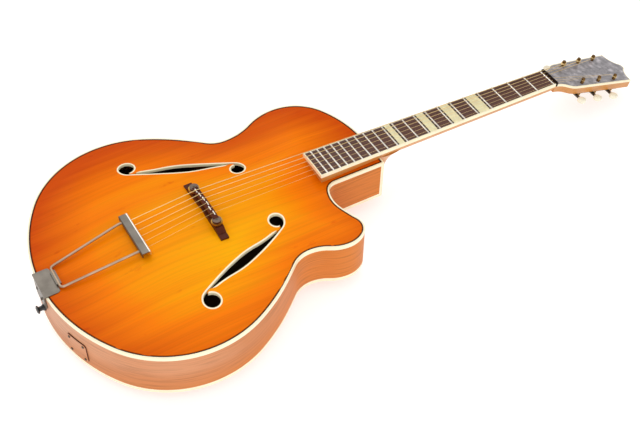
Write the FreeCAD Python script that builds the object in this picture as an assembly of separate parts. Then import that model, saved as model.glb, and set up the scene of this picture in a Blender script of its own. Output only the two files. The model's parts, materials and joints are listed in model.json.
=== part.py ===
import FreeCAD, Part
import math
import os

V = FreeCAD.Vector
Rotation = FreeCAD.Rotation
Placement = FreeCAD.Placement
X_AXIS = V(1, 0, 0)
Y_AXIS = V(0, 1, 0)
Z_AXIS = V(0, 0, 1)

# The guitar lies on its back. While it is built, x runs along the centre line from the tail to the head
# with zero at the 14th fret, +y is the bass side, and z is zero on the flat edge of the top.

# Body outline in plan, in mm
body_length = 553.5
neck_joint_x = 4.0
lower_bout = 435.0
lower_bout_from_tail = 0.318 * body_length
lower_turn_from_tail = 0.5565 * body_length
lower_turn_half = 163.0
lower_turn_deg = -38.5
waist_width = 266.0
waist_from_tail = 0.6504 * body_length
upper_bout_half = 158.5
upper_bout_from_tail = 0.8275 * body_length
shoulder_end_y = 26.0

# Cutaway and its horn on the treble side
cutaway_corner_y = -35.0
cutaway_root = V(neck_joint_x - 0.159 * body_length, -32.5, 0)
cutaway_deep = V(neck_joint_x - 0.1996 * body_length, -66.0, 0)
cutaway_turn = V(neck_joint_x - 0.1843 * body_length, -100.0, 0)
cutaway_turn_deg = 290.0
horn_tip = V(neck_joint_x - 0.1716 * body_length, -122.0, 0)
horn_low = V(neck_joint_x - 0.2367 * body_length, -151.0, 0)

# Body depth, plates and ribs
rim_depth = 75.5
rim_depth_tail = 84.5
top_arch = 18.0
back_arch = 16.0
arch_reach = 160.0
arch_flat_edge = 10.0
arch_grid = 16.0
arch_smoothing = 3
top_thickness = 5.0
back_thickness = 4.5
rib_thickness = 3.0
glue_line = 0.1
lining_width = 6.0
lining_height = 14.0
binding_width = 2.4
binding_height = 6.5
purfling_width = 1.2
purfling_depth = 1.6
cutaway_strip_length = 5.0
neck_block_length = 62.0
neck_block_bass_y = 48.0
tail_block_length = 26.0
tail_block_width = 90.0
tone_bar_width = 7.0
tone_bar_height = 11.0
tone_bar_length = 360.0
tone_bar_y = 34.0
tone_bar_splay_deg = 3.0

# Sound holes, given for the bass side and mirrored
hole_tail_eye = V(neck_joint_x - 0.6432 * body_length, 0.3356 * lower_bout, 0)
hole_tail_eye_radius = 12.0
hole_neck_eye = V(neck_joint_x - 0.3749 * body_length, 0.1402 * lower_bout, 0)
hole_neck_eye_radius = 10.5
hole_slot_width = 16.5
hole_slot_slant_deg = 8.5
hole_knee = 60.0
hole_knee_out = 13.5
hole_knee_in = 8.2
hole_wrap_deg = 215.0
hole_notch_deg = 118.0
hole_binding = 2.4

# Neck and fingerboard
scale_length = 640.0
joint_fret = 14
fret_count = 21
neck_pitch_deg = 3.0
board_height = 15.5
board_thickness = 6.5
board_radius = 350.0
board_past_last_fret = 11.7
board_past_zero_fret = 4.0
nut_width = 41.0
board_end_width = 55.6
board_binding = 2.0
fret_width = 2.4
fret_height = 1.1
block_frets = (5, 7, 9, 12)
block_floor = 3.5
block_border = 2.2
block_gap_to_fret = 1.0
nut_length = 4.5
nut_rise = 1.6
neck_depth_nut = 21.0
neck_depth_heel = 24.0
heel_width_top = 49.0
heel_width_bottom = 28.0
heel_length_top = 72.0
heel_length_bottom = 12.0
tenon_length = 30.0
tenon_width = 22.0
tenon_depth = 58.0

# Head
head_angle_deg = 12.4
head_drop = 3.5
head_thickness = 15.0
head_length = 181.0
head_flare_start = 2.0
head_flare_end = 37.0
head_flare_half = 33.4
head_side_slope_deg = 2.4
head_corner_s = 164.5
head_crown_s = 175.0
head_crown_half = 9.0
head_crown_dip = 3.0
veneer_thickness = 1.6
head_binding_width = 1.8
head_binding_height = 4.0

# Machine heads, three on a strip on each side
tuner_first_s = 52.5
tuner_pitch = 38.0
tuner_edge_inset = 8.2
post_radius = 3.0
post_rise = 10.5
post_hole_radius = 0.9
post_hole_height = 7.6
strip_thickness = 1.2
strip_half_width = 7.5
strip_end = 14.0
strip_nut_end = 19.0
gear_teeth = 14
worm_lead = 2.4
worm_turns = 3
worm_core_radius = 1.6
worm_tip_radius = 3.0
worm_pitch_radius = 2.4
worm_root_width = 1.2
worm_tip_width = 0.6
gear_width = 4.2
gear_addendum = 0.5
gear_dedendum = 0.95
gear_tooth_root = 1.1
gear_tooth_tip = 0.5
worm_clear = 0.4
collar_radius = 4.0
collar_gap = 0.15
ear_thickness = 1.2
ear_half_width = 2.8
ear_gap = 0.3
button_start = 15.0
button_length = 13.0
button_width = 17.0
button_thickness = 7.5
button_edge = 2.6
button_collar_radius = 3.4
button_collar_length = 2.0
running_fit = 0.05

# Bridge
bridge_compensation = 3.0
bridge_base_length = 124.0
bridge_base_width = 13.0
bridge_base_rise = 6.0
bridge_end_height = 4.5
bridge_end_step = 9.0
bridge_tunnel_half = 17.0
bridge_tunnel_height = 2.6
bridge_post_y = 37.0
bridge_post_radius = 2.0
bridge_post_sunk = 4.0
wheel_radius = 8.6
wheel_thickness = 3.0
wheel_lift = 2.6
wheel_notches = 24
wheel_notch_radius = 0.5
saddle_gap = 0.1
saddle_width = 8.5
saddle_disc_radius = 6.8
saddle_end_drop = 3.0
saddle_crown_half = 30.0
saddle_wire_radius = 1.0
saddle_wire_length = 8.0
action_at_twelfth = 2.3

# Strings, from the lowest to the highest
string_diameters = (1.30, 1.05, 0.80, 0.60, 0.42, 0.32)
string_comp = (4.5, 3.5, 2.5, 1.5, 3.0, 1.5)
string_span_nut = 34.0
string_span_bridge = 52.0
string_span_tail = 59.0
string_gap = 0.05
ball_radius = 2.0
ball_length = 4.4
winding_turns = 2.5
winding_gap = 0.45
winding_top = 7.2
winding_swing_gap = 0.3

# Tailpiece
bar_from_tail = 155.5
bar_depth = 14.0
bar_length = 83.0
bar_top_z = 28.5
bar_height = 8.0
bar_sheet = 1.6
bar_string_drop = 4.2
hinge_from_tail = 25.0
hinge_z = 4.6
wire_radius = 2.0
wire_base_half = 21.0
wire_top_half = 31.0
wire_bend = 5.0
wire_head_radius = 2.5
lip_wall = 1.7
lip_half = 13.5
lip_mouth = 1.2
bracket_half_width = 24.5
bracket_sheet = 1.8
bracket_corner = 5.0
bracket_leg_depth = 36.0
bracket_leg_half = 19.0

# Strap button, side cover and wood screws
strap_button_z = -47.0
strap_base_radius = 5.5
strap_neck_radius = 3.6
strap_head_radius = 6.4
strap_length = 13.0
cover_length = 38.0
cover_height = 39.0
cover_y = -88.0
cover_z = -50.0
cover_thickness = 1.8
cover_corner = 5.0
screw_head_radius = 2.2
screw_head_height = 1.2
screw_shank_radius = 1.1
screw_shank_length = 7.0
screw_slot_width = 0.6

# Values that follow from the sizes above
tail_x = neck_joint_x - body_length
bar_front_x = tail_x + bar_from_tail
hinge_x = tail_x + hinge_from_tail
zero_fret_u = scale_length * (1 - 2 ** (-joint_fret / 12.0))
bridge_x = zero_fret_u - scale_length
neck_tilt = math.radians(neck_pitch_deg)
strip_pitch = tuner_pitch / math.cos(math.radians(head_side_slope_deg))
gear_pitch_radius = gear_teeth * worm_lead / (2 * math.pi)
tuner_centres = gear_pitch_radius + worm_pitch_radius
worm_drop = worm_tip_radius + worm_clear
worm_half = worm_lead * worm_turns / 2.0

pieces = {}


def edge_arc(start, heading, end):
    """The arc, or straight edge, that leaves start along heading and reaches end."""
    chord = end - start
    turn = heading.getAngle(chord)
    if turn < 1e-4:
        return Part.LineSegment(start, end).toShape()
    bulge = heading - chord * (heading.dot(chord) / chord.dot(chord))
    bulge.normalize()
    middle = (start + end) * 0.5 + bulge * (chord.Length / 2 * math.tan(turn / 2))
    return Part.Arc(start, middle, end).toShape()


def heading_of(degrees):
    angle = math.radians(degrees)
    return V(math.cos(angle), math.sin(angle), 0)


def biarc(start, out, end, into):
    """Two arcs, tangent to each other and to both end headings."""
    span = end - start
    both = span.dot(out + into)
    curl = 2 * (1 - out.dot(into))
    if curl < 1e-9:
        reach = span.dot(span) / (4 * span.dot(into))
    else:
        reach = (math.sqrt(both * both + curl * span.dot(span)) - both) / curl
    middle = (start + out * reach + end - into * reach) * 0.5
    turned = edge_arc(end, into * -1, middle)
    return [edge_arc(start, out, middle), turned]


def chain(nodes):
    """Closed or open run of biarcs through (point, heading in degrees)."""
    edges = []
    for (start, start_deg), (end, end_deg) in zip(nodes, nodes[1:]):
        edges += biarc(start, heading_of(start_deg), end, heading_of(end_deg))
    return edges


def wire_of(edges):
    return Part.Wire(Part.__sortEdges__(edges))


def prism(wire, low, high):
    face = Part.Face(wire)
    face.translate(V(0, 0, low))
    return face.extrude(V(0, 0, high - low))


def box(low, high):
    size = high - low
    return Part.makeBox(size.x, size.y, size.z, low)


def rod(start, end, radius):
    return Part.makeCylinder(radius, (end - start).Length, start, end - start)


def mirrored(shape):
    """The same piece on the other side of the centre line."""
    return shape.mirror(V(0, 0, 0), Y_AXIS)


def ring(outer, inner, low, high):
    return prism(outer, low, high).cut(prism(inner, low - 1, high + 1))


def group(shapes):
    return Part.makeCompound(shapes)


def body_outline():
    tail = V(tail_x, 0, 0)
    bout = V(tail_x + lower_bout_from_tail, lower_bout / 2, 0)
    turn = V(tail_x + lower_turn_from_tail, lower_turn_half, 0)
    waist = V(tail_x + waist_from_tail, waist_width / 2, 0)
    upper = V(tail_x + upper_bout_from_tail, upper_bout_half, 0)
    shoulder = V(neck_joint_x, shoulder_end_y, 0)
    corner = V(neck_joint_x, cutaway_corner_y, 0)

    def other(point):
        return V(point.x, -point.y, 0)

    edges = chain([(tail, 90), (bout, 0), (turn, lower_turn_deg), (waist, 0), (upper, 0), (shoulder, -90)])
    edges.append(Part.LineSegment(shoulder, corner).toShape())
    edges.append(Part.LineSegment(corner, cutaway_root).toShape())
    edges += chain([(cutaway_root, 180), (cutaway_deep, 270), (cutaway_turn, cutaway_turn_deg),
                    (horn_tip, 270), (horn_low, 180), (other(waist), 180),
                    (other(turn), 180 - lower_turn_deg), (other(bout), 180), (tail, 90)])
    return wire_of(edges)


outline = body_outline()
outline_points = outline.discretize(Number=420)


def inset(distance):
    return outline.makeOffset2D(-distance)


def edge_distance(x, y):
    """Distance from the outline, zero outside it."""
    inside = False
    nearest = 1e9
    last = outline_points[-1]
    for point in outline_points:
        nearest = min(nearest, (point.x - x) ** 2 + (point.y - y) ** 2)
        if (point.y > y) != (last.y > y):
            crossing = last.x + (y - last.y) * (point.x - last.x) / (point.y - last.y)
            if x < crossing:
                inside = not inside
        last = point
    return math.sqrt(nearest) if inside else 0.0


def arch_share(x, y):
    """Zero at the flat edge, rising in a smooth S to one at the crown."""
    share = (edge_distance(x, y) - arch_flat_edge) / arch_reach
    share = min(1.0, max(0.0, share))
    return share * share * (3 - 2 * share)


def arch_grid_shares():
    box_of_outline = outline.BoundBox
    margin = arch_grid
    columns = int(math.ceil((box_of_outline.XLength + 2 * margin) / arch_grid))
    rows = int(math.ceil((box_of_outline.YLength + 2 * margin) / arch_grid))
    grid = []
    for i in range(columns + 1):
        x = box_of_outline.XMin - margin + i * arch_grid
        line = []
        for j in range(rows + 1):
            y = box_of_outline.YMin - margin + j * arch_grid
            line.append((x, y, arch_share(x, y)))
        grid.append(line)
    for _ in range(arch_smoothing):
        grid = smoothed(grid)
    return grid


def smoothed(grid):
    """Evens out the ridges that the outline's corners leave in the arch."""
    result = []
    for i, line in enumerate(grid):
        row = []
        for j, (x, y, share) in enumerate(line):
            if share > 0:
                around = (grid[i - 1][j][2] + grid[i + 1][j][2] + line[j - 1][2] + line[j + 1][2]) / 4
                share = (share + around) / 2
            row.append((x, y, share))
        result.append(row)
    return result


def back_edge(x):
    """Height of the back's edge, which drops evenly from the neck to the tail."""
    return -rim_depth - (rim_depth_tail - rim_depth) * (neck_joint_x - x) / body_length


def flat_edge(x):
    return 0.0


def arch_face(grid, edge, rise):
    rows = [[V(x, y, edge(x) + rise * share) for x, y, share in line] for line in grid]
    surface = Part.BSplineSurface()
    surface.interpolate(rows)
    return surface.toShape()


def top_height(x, y):
    return top_arch * arch_share(x, y)


shares = arch_grid_shares()
top_face = arch_face(shares, flat_edge, top_arch)
back_face = arch_face(shares, back_edge, -back_arch)
top_slab = top_face.extrude(V(0, 0, -top_thickness))
back_slab = back_face.extrude(V(0, 0, back_thickness))
deep = rim_depth_tail + back_arch + top_arch
body_block = prism(outline, -deep, deep)
above_top_inside = top_face.copy()
above_top_inside.translate(V(0, 0, -top_thickness))
above_top_inside = above_top_inside.extrude(V(0, 0, 2 * deep))
below_back_inside = back_face.copy()
below_back_inside.translate(V(0, 0, back_thickness))
below_back_inside = below_back_inside.extrude(V(0, 0, -2 * deep))
under_top = top_face.extrude(V(0, 0, -2 * deep)).common(body_block)


def above_back(low, high):
    """Slab between two heights over the sloping edge of the back."""
    slope = math.degrees(math.atan2(rim_depth_tail - rim_depth, body_length))
    slab = box(V(-2 * body_length, -body_length, low), V(body_length, body_length, high))
    return placed(slab, Placement(V(neck_joint_x, 0, -rim_depth), Rotation(Y_AXIS, -slope)))


def placed(shape, frame):
    copy = shape.copy()
    copy.Placement = frame.multiply(copy.Placement)
    return copy


def inner_room(piece):
    """A piece kept inside the ribs and between the two plates."""
    room = piece.common(prism(inset(rib_thickness), -deep, deep))
    return room.cut(above_top_inside).cut(below_back_inside)


def sound_hole(margin):
    """The bass sound hole as a cutter, grown by margin. Its slot wraps round the far side of each eye."""
    axis = hole_neck_eye - hole_tail_eye
    centre = (hole_neck_eye + hole_tail_eye) * 0.5
    half = axis.Length / 2
    turn = math.degrees(math.atan2(axis.y, axis.x))
    tail_radius = hole_tail_eye_radius + margin
    neck_radius = hole_neck_eye_radius + margin

    def on_eye(eye_a, radius, degrees):
        return V(eye_a, 0, 0) + heading_of(degrees) * radius

    def edge(eye_start, eye_end):
        """One long edge of the slot, from the eye that it wraps to the notch at the other eye."""
        return chain([(on_eye(-half, eye_start, hole_wrap_deg), hole_wrap_deg - 270),
                      (V(-hole_knee, -hole_knee_out - margin, 0), 2.0),
                      (V(0, -hole_slot_width / 2 - margin, 0), hole_slot_slant_deg),
                      (V(hole_knee, hole_knee_in - margin, 0), 12.0),
                      (on_eye(half, eye_end, hole_notch_deg), -20.0)])

    inner = edge(tail_radius, neck_radius)
    outer = [e.rotate(V(0, 0, 0), Z_AXIS, 180) or e for e in edge(neck_radius, tail_radius)]
    closers = []
    for eye_a, radius, spin in ((half, neck_radius, 0), (-half, tail_radius, 180)):
        notch = on_eye(eye_a, radius, hole_notch_deg + spin)
        wrap = on_eye(eye_a, radius, hole_wrap_deg - 180 + spin)
        closers.append(Part.LineSegment(notch, wrap).toShape())
    slot = prism(wire_of(inner + outer + closers), -deep, deep)
    eyes = [rod(V(a, 0, -deep), V(a, 0, deep), radius) for a, radius in ((-half, tail_radius), (half, neck_radius))]
    return placed(slot.multiFuse(eyes).removeSplitter(), Placement(centre, Rotation(Z_AXIS, turn)))


def make_body():
    binding_inner = inset(binding_width)
    plate_edge = inset(binding_width + purfling_width)
    rib_inner = inset(rib_thickness)
    lining_inner = inset(rib_thickness + lining_width)
    hole = sound_hole(0.0)
    hole_rim = sound_hole(hole_binding)
    both_holes = [hole_rim, mirrored(hole_rim)]

    groove = ring(binding_inner, plate_edge, -purfling_depth, deep)
    pieces["top_purfling"] = top_slab.common(groove)
    top = top_slab.common(prism(binding_inner, -deep, deep)).cut(groove)
    pieces["top_plate"] = top.cut(group(both_holes))
    hole_lining = top_slab.common(hole_rim.cut(hole))
    pieces["f_hole_bindings"] = group([hole_lining, mirrored(hole_lining)])
    pieces["back_plate"] = back_slab.common(prism(binding_inner, -deep, deep))
    top_binding = ring(outline, binding_inner, -binding_height, 0)
    back_binding = ring(outline, binding_inner, -deep, 0).common(above_back(0, binding_height))
    pieces["top_binding"] = top_binding
    pieces["back_binding"] = back_binding

    rib_low, rib_high = back_thickness + glue_line, -top_thickness - glue_line
    ribs = ring(outline, rib_inner, -deep, rib_high).common(above_back(rib_low, 2 * deep))
    ribs = ribs.cut(top_binding).cut(back_binding)
    strip = box(V(neck_joint_x - cutaway_strip_length, cutaway_corner_y - 1, -deep),
                V(neck_joint_x + 1, cutaway_corner_y + binding_width, -binding_height))
    strip = strip.common(above_back(binding_height, 2 * deep))
    strip = strip.common(ribs)
    ribs = ribs.cut(strip)
    pieces["cutaway_strip"] = strip
    wide = body_length
    bass_half = box(V(-2 * wide, 0, -wide), V(wide, wide, wide))
    tenon = box(V(neck_joint_x - tenon_length, -tenon_width / 2, -tenon_depth),
                V(neck_joint_x, tenon_width / 2, -top_thickness))
    ribs = ribs.cut(tenon)
    pieces["bass_rib"] = ribs.common(bass_half)
    pieces["treble_rib"] = ribs.cut(bass_half)

    neck_block = box(V(neck_joint_x - rib_thickness - neck_block_length, cutaway_corner_y, -deep),
                     V(neck_joint_x, neck_block_bass_y, deep))
    neck_block = inner_room(neck_block).cut(tenon)
    tail_block = inner_room(box(V(tail_x, -tail_block_width / 2, -deep),
                                V(tail_x + rib_thickness + tail_block_length, tail_block_width / 2, deep)))
    pieces["neck_block"] = neck_block
    pieces["tail_block"] = tail_block
    upper = ring(rib_inner, lining_inner, rib_high - lining_height, rib_high)
    lower = ring(rib_inner, lining_inner, -deep, 0).common(above_back(rib_low, rib_low + lining_height))
    linings = [run.cut(neck_block).cut(tail_block).cut(tenon) for run in (upper, lower)]
    pieces["linings"] = group(linings)

    bar_face = top_face.copy()
    bar_face.translate(V(0, 0, -top_thickness))
    bar_layer = bar_face.extrude(V(0, 0, -tone_bar_height))
    bar_end = V(tone_bar_length / 2, tone_bar_width / 2, deep)
    blank = box(bar_end * -1, bar_end)
    bars = []
    for side in (1, -1):
        bar = blank.copy()
        splay = Rotation(Z_AXIS, -side * tone_bar_splay_deg)
        bar.Placement = Placement(V(bridge_x, side * tone_bar_y, 0), splay)
        bars.append(bar.common(bar_layer))
    pieces["tone_bars"] = group(bars)
    return tenon


# Neck, fingerboard and head have their own frames, tilted about the cross axis
neck_frame = Placement(V(0, 0, board_height), Rotation(Y_AXIS, neck_pitch_deg))
head_origin_u = zero_fret_u + board_past_zero_fret + nut_length
head_frame = neck_frame.multiply(Placement(V(head_origin_u, 0, -head_drop), Rotation(Y_AXIS, head_angle_deg)))


def fret_u(number):
    return zero_fret_u - scale_length * (1 - 2 ** (-number / 12.0))


board_end_u = fret_u(fret_count) - board_past_last_fret
board_start_u = zero_fret_u + board_past_zero_fret


def board_half(u):
    """Half the width of the bound fingerboard at u."""
    share = (zero_fret_u - u) / (zero_fret_u - board_end_u)
    return (nut_width + (board_end_width - nut_width) * share) / 2


def tapered_plan(start, end, trim, low, high):
    corners = [V(start, board_half(start) - trim, 0), V(end, board_half(end) - trim, 0),
               V(end, trim - board_half(end), 0), V(start, trim - board_half(start), 0)]
    return prism(Part.makePolygon(corners + corners[:1]), low, high)


def crowned(shape, height):
    """Trims a piece of the fingerboard to the playing surface raised by height."""
    long = 2 * scale_length
    drum = Part.makeCylinder(board_radius + height, long, V(-long / 2, 0, -board_radius), X_AXIS)
    return shape.common(drum)


def make_fingerboard():
    full = crowned(tapered_plan(board_start_u, board_end_u, 0.0, -board_thickness, board_thickness), 0.0)
    wood = crowned(tapered_plan(board_start_u, board_end_u + board_binding, board_binding,
                                -board_thickness, board_thickness), 0.0)
    pieces["fingerboard_binding"] = full.cut(wood)
    blocks = []
    for number in block_frets:
        low = fret_u(number) + fret_width / 2 + block_gap_to_fret
        high = fret_u(number - 1) - fret_width / 2 - block_gap_to_fret
        pocket = crowned(tapered_plan(high, low, board_binding, -block_floor, board_thickness), 0.0)
        wood = wood.cut(pocket)
        for start, end in ((high, high - block_border), (high - block_border, low + block_border),
                           (low + block_border, low)):
            slab = box(V(end, -nut_width, -board_thickness), V(start, nut_width, board_thickness))
            blocks.append(pocket.common(slab))
    pieces["fingerboard"] = wood
    pieces["fret_blocks"] = group(blocks)
    frets = []
    for number in range(fret_count + 1):
        u = fret_u(number)
        half = board_half(u)
        corner = V(fret_width / 2, half, board_thickness)
        bar = box(V(u, 0, 0) - corner, V(u, 0, 0) + corner)
        fret = crowned(bar, fret_height).cut(crowned(bar, 0.0))
        frets.append(crest_rounded(fret, u))
    pieces["frets"] = group(frets)
    for name in ("fingerboard_binding", "fingerboard", "fret_blocks", "frets"):
        pieces[name] = placed(pieces[name], neck_frame)


def crest_rounded(fret, u):
    """Bevels both long edges of a fret, as its crown is."""
    slope = fret_height * 0.75
    cutters = []
    for side in (1, -1):
        profile = Part.makePolygon([V(u + side * fret_width / 2, 0, slope - fret_height * 0.4),
                                    V(u + side * fret_width / 2, 0, board_thickness),
                                    V(u + side * fret_width * 0.12, 0, board_thickness),
                                    V(u + side * fret_width * 0.12, 0, fret_height),
                                    V(u + side * fret_width / 2, 0, slope - fret_height * 0.4)])
        solid = Part.Face(profile).extrude(V(0, 2 * nut_width, 0))
        solid.translate(V(0, -nut_width, 0))
        cutters.append(solid)
    return fret.cut(group(cutters))


def neck_section(u, half, depth):
    """Closed D section of the neck below the fingerboard at u."""
    top = -board_thickness
    left, right = V(u, -half, top), V(u, half, top)
    low = V(u, 0, -depth)
    drop = depth - board_thickness
    knee = math.cos(math.radians(45))
    arcs = [Part.LineSegment(left, right).toShape(),
            Part.Arc(right, V(u, half * knee * 1.12, top - drop * knee), low).toShape(),
            Part.Arc(low, V(u, -half * knee * 1.12, top - drop * knee), left).toShape()]
    return Part.Wire(arcs)


def heel_section(z, half, length):
    """D shaped plan of the heel at height z, flat against the body."""
    x = neck_joint_x
    nose = V(x + length, 0, z)
    knee = math.cos(math.radians(45))
    left, right = V(x, -half, z), V(x, half, z)
    bend_right = V(x + length * knee, half * knee * 1.06, z)
    bend_left = V(x + length * knee, -half * knee * 1.06, z)
    return Part.Wire([Part.LineSegment(left, right).toShape(),
                      Part.Arc(right, bend_right, nose).toShape(),
                      Part.Arc(nose, bend_left, left).toShape()])


def head_outline():
    half = board_half(board_start_u)
    start = -nut_length
    flare = V(head_flare_end, head_flare_half, 0)
    rise = math.tan(math.radians(head_side_slope_deg))
    corner = V(head_corner_s, head_flare_half + (head_corner_s - head_flare_end) * rise, 0)
    crown = V(head_crown_s, head_crown_half, 0)
    tip = V(head_length, 0, 0)
    middle = (corner + crown) * 0.5 - V(head_crown_dip, 0, 0)
    side = [Part.LineSegment(V(start, half, 0), V(head_flare_start, half, 0)).toShape()]
    side += chain([(V(head_flare_start, half, 0), 0), (flare, head_side_slope_deg)])
    side.append(Part.LineSegment(flare, corner).toShape())
    side.append(Part.Arc(corner, middle, crown).toShape())
    edges = side + [mirrored(edge) for edge in side]
    edges.append(Part.Arc(crown, tip, V(crown.x, -crown.y, 0)).toShape())
    edges.append(Part.LineSegment(V(start, half, 0), V(start, -half, 0)).toShape())
    return wire_of(edges)


def head_half(s):
    rise = math.tan(math.radians(head_side_slope_deg))
    return head_flare_half + (s - head_flare_end) * rise


def tuner_spots():
    """Number, head frame place and side of each tuner, from the lowest string to the highest."""
    spots = []
    for number in range(6):
        row = number if number < 3 else 5 - number
        side = 1 if number < 3 else -1
        s = tuner_first_s + row * tuner_pitch
        spots.append((number, s, side * (head_half(s) - tuner_edge_inset), side))
    return spots


def tuner_frame(s, y, side):
    turn = Rotation(Z_AXIS, side * head_side_slope_deg)
    return head_frame.multiply(Placement(V(s, y, -head_thickness), turn))


def make_neck(tenon):
    shaft_end = head_origin_u
    shaft = Part.makeLoft([neck_section(0.0, board_half(0.0), neck_depth_heel),
                           neck_section(shaft_end, board_half(board_start_u), neck_depth_nut)], True, True)
    shaft = placed(shaft, neck_frame).cut(body_block)
    floor = -rim_depth
    levels = ((0.0, 0.0), (0.35, 0.10), (0.65, 0.24), (0.85, 0.48), (1.0, 1.0))
    rise = rim_depth + board_height - board_thickness - neck_depth_heel / 3
    sections = []
    for height, flare in levels:
        half = (heel_width_bottom + (heel_width_top - heel_width_bottom) * (0.35 * height + 0.65 * flare)) / 2
        length = heel_length_bottom + (heel_length_top - heel_length_bottom) * flare
        sections.append(heel_section(floor + rise * height, half, length))
    heel = Part.makeLoft(sections, True, False)
    tongue_half = board_half(0.0) - board_binding
    tongue = box(V(board_end_u + 2 * board_binding, -tongue_half, -deep),
                 V(2 * tenon_length, tongue_half, -board_thickness))
    tongue = placed(tongue, neck_frame)
    over_body = box(V(-body_length, -body_length, 0), V(neck_joint_x, body_length, deep))
    tongue = tongue.cut(under_top).common(over_body)
    outline_of_head = head_outline()
    core = prism(outline_of_head, -head_thickness, -veneer_thickness)
    rabbet = ring(outline_of_head, outline_of_head.makeOffset2D(-head_binding_width), -head_binding_height, 0)
    nut_room = box(V(-2 * head_length, -2 * nut_width, -2 * nut_width), V(0, 2 * nut_width, 2 * nut_width))
    rabbet = rabbet.cut(nut_room)
    veneer = prism(outline_of_head.makeOffset2D(-head_binding_width), -veneer_thickness, 0).cut(nut_room)
    core = core.cut(rabbet)
    under_board = box(V(-scale_length, -nut_width, -board_thickness), V(head_origin_u, nut_width, nut_width))
    core = placed(core, head_frame).cut(placed(under_board, neck_frame))
    neck = shaft.multiFuse([heel.cut(placed(under_board, neck_frame)).cut(body_block), core, tongue, tenon])
    rabbet = placed(rabbet, head_frame)
    neck = neck.removeSplitter().cut(rabbet)
    veneer = placed(veneer, head_frame)
    for number, s, y, side in tuner_spots():
        hole = rod(V(s, y, -2 * head_thickness), V(s, y, head_thickness), post_radius + running_fit)
        hole = placed(hole, head_frame)
        neck = neck.cut(hole)
        veneer = veneer.cut(hole)
    pieces["neck"] = neck
    pieces["head_veneer"] = veneer
    pieces["head_binding"] = rabbet
    pieces["top_binding"] = pieces["top_binding"].cut(tenon)


def string_y(number, span):
    return span * (0.5 - number / 5.0)


def crown_drop(y):
    return y * y / (2 * board_radius)


# Height of the string line above the fingerboard plane at the bridge
bridge_over_board = fret_height + 2 * action_at_twelfth
bridge_line_z = board_height - bridge_x * math.tan(neck_tilt) + bridge_over_board / math.cos(neck_tilt)


def string_at_zero_fret(number):
    y = string_y(number, string_span_nut)
    radius = string_diameters[number] / 2
    return neck_frame.multVec(V(zero_fret_u, y, fret_height + radius + string_gap - crown_drop(y)))


def string_at_saddle(number):
    y = string_y(number, string_span_bridge)
    radius = string_diameters[number] / 2
    x = bridge_x - string_comp[number]
    return V(x, y, bridge_line_z + radius + string_gap - crown_drop(y))


def string_at_tailpiece(number):
    return V(bar_front_x, string_y(number, string_span_tail), bar_top_z - bar_string_drop)


def winding_radius(number):
    return post_radius + string_diameters[number] / 2 + string_gap


def winding_start(number, s, y, side):
    """Where the string meets its post, in the head frame, and the angle of that point about the post."""
    radius = winding_radius(number)
    nut_point = head_frame.inverse().multVec(string_at_zero_fret(number))
    away = V(nut_point.x - s, nut_point.y - y, 0)
    spread = math.acos(radius / away.Length)
    angle = math.atan2(away.y, away.x) + side * spread
    return V(s + radius * math.cos(angle), y + radius * math.sin(angle), winding_top), angle


def winding_path(number, side):
    """Quarter turn biarcs of the winding about the post axis, from the top down, with straight ends."""
    radius = winding_radius(number)
    lead = string_diameters[number] + winding_gap
    quarters = int(round(winding_turns * 4))

    def at(step):
        angle = side * step * math.pi / 2
        return V(radius * math.cos(angle), radius * math.sin(angle), -lead * step / 4.0)

    def along(step):
        angle = side * step * math.pi / 2
        round_part = side * 2 * math.pi * radius
        heading = V(-math.sin(angle) * round_part, math.cos(angle) * round_part, -lead)
        return heading.normalize()

    first = at(0) - along(0) * string_diameters[number]
    last = at(quarters) + along(quarters) * string_diameters[number]
    edges = [Part.LineSegment(first, at(0)).toShape()]
    for i in range(quarters):
        edges += biarc(at(i), along(i), at(i + 1), along(i + 1))
    edges.append(Part.LineSegment(at(quarters), last).toShape())
    points = [at(i / 8.0) for i in range(quarters * 8 + 1)]
    half_turn = 16
    least = min((points[i] - points[j]).Length for i in range(len(points))
                for j in range(i + half_turn, len(points)))
    print("winding", number + 1, "least gap to itself %.2f mm" % (least - string_diameters[number]))
    return wire_of(edges), first, along(0)


def make_winding(number, s, y, side):
    start, angle = winding_start(number, s, y, side)
    path, first, heading = winding_path(number, side)
    profile = Part.Wire(Part.makeCircle(string_diameters[number] / 2, first, heading))
    tube = path.makePipeShell([profile], True, False)
    tube.Placement = Placement(V(s, y, winding_top), Rotation(Z_AXIS, math.degrees(angle)))
    return placed(tube, head_frame)


def make_strings():
    front = []
    behind = []
    for number, s, y, side in tuner_spots():
        radius = string_diameters[number] / 2
        saddle = string_at_saddle(number)
        zero = string_at_zero_fret(number)
        end, angle = winding_start(number, s, y, side)
        end = head_frame.multVec(end)
        reach = math.hypot(winding_radius(number) + radius, 2 * radius) + winding_swing_gap
        back_off = math.sqrt(reach ** 2 - (winding_radius(number) - radius) ** 2)
        last = end + (zero - end).normalize() * back_off
        speaking = rod(saddle, zero, radius)
        knee = Part.makeSphere(radius, zero)
        front.append(speaking.multiFuse([knee, rod(zero, last, radius)]).removeSplitter())
        tail = string_at_tailpiece(number)
        line = (tail - saddle).normalize()
        inside = tail - X_AXIS * (bar_sheet + string_gap)
        cord = rod(saddle + line * radius, tail, radius)
        hook = rod(tail, inside, radius)
        ball_centre = inside - X_AXIS * (ball_radius - string_gap)
        ball_half = Y_AXIS * (ball_length / 2)
        ball = rod(ball_centre - ball_half, ball_centre + ball_half, ball_radius)
        behind.append(cord.multiFuse([Part.makeSphere(radius, tail), hook, ball]).removeSplitter())
    pieces["strings_front"] = group(front)
    pieces["strings_tail"] = group(behind)


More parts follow.
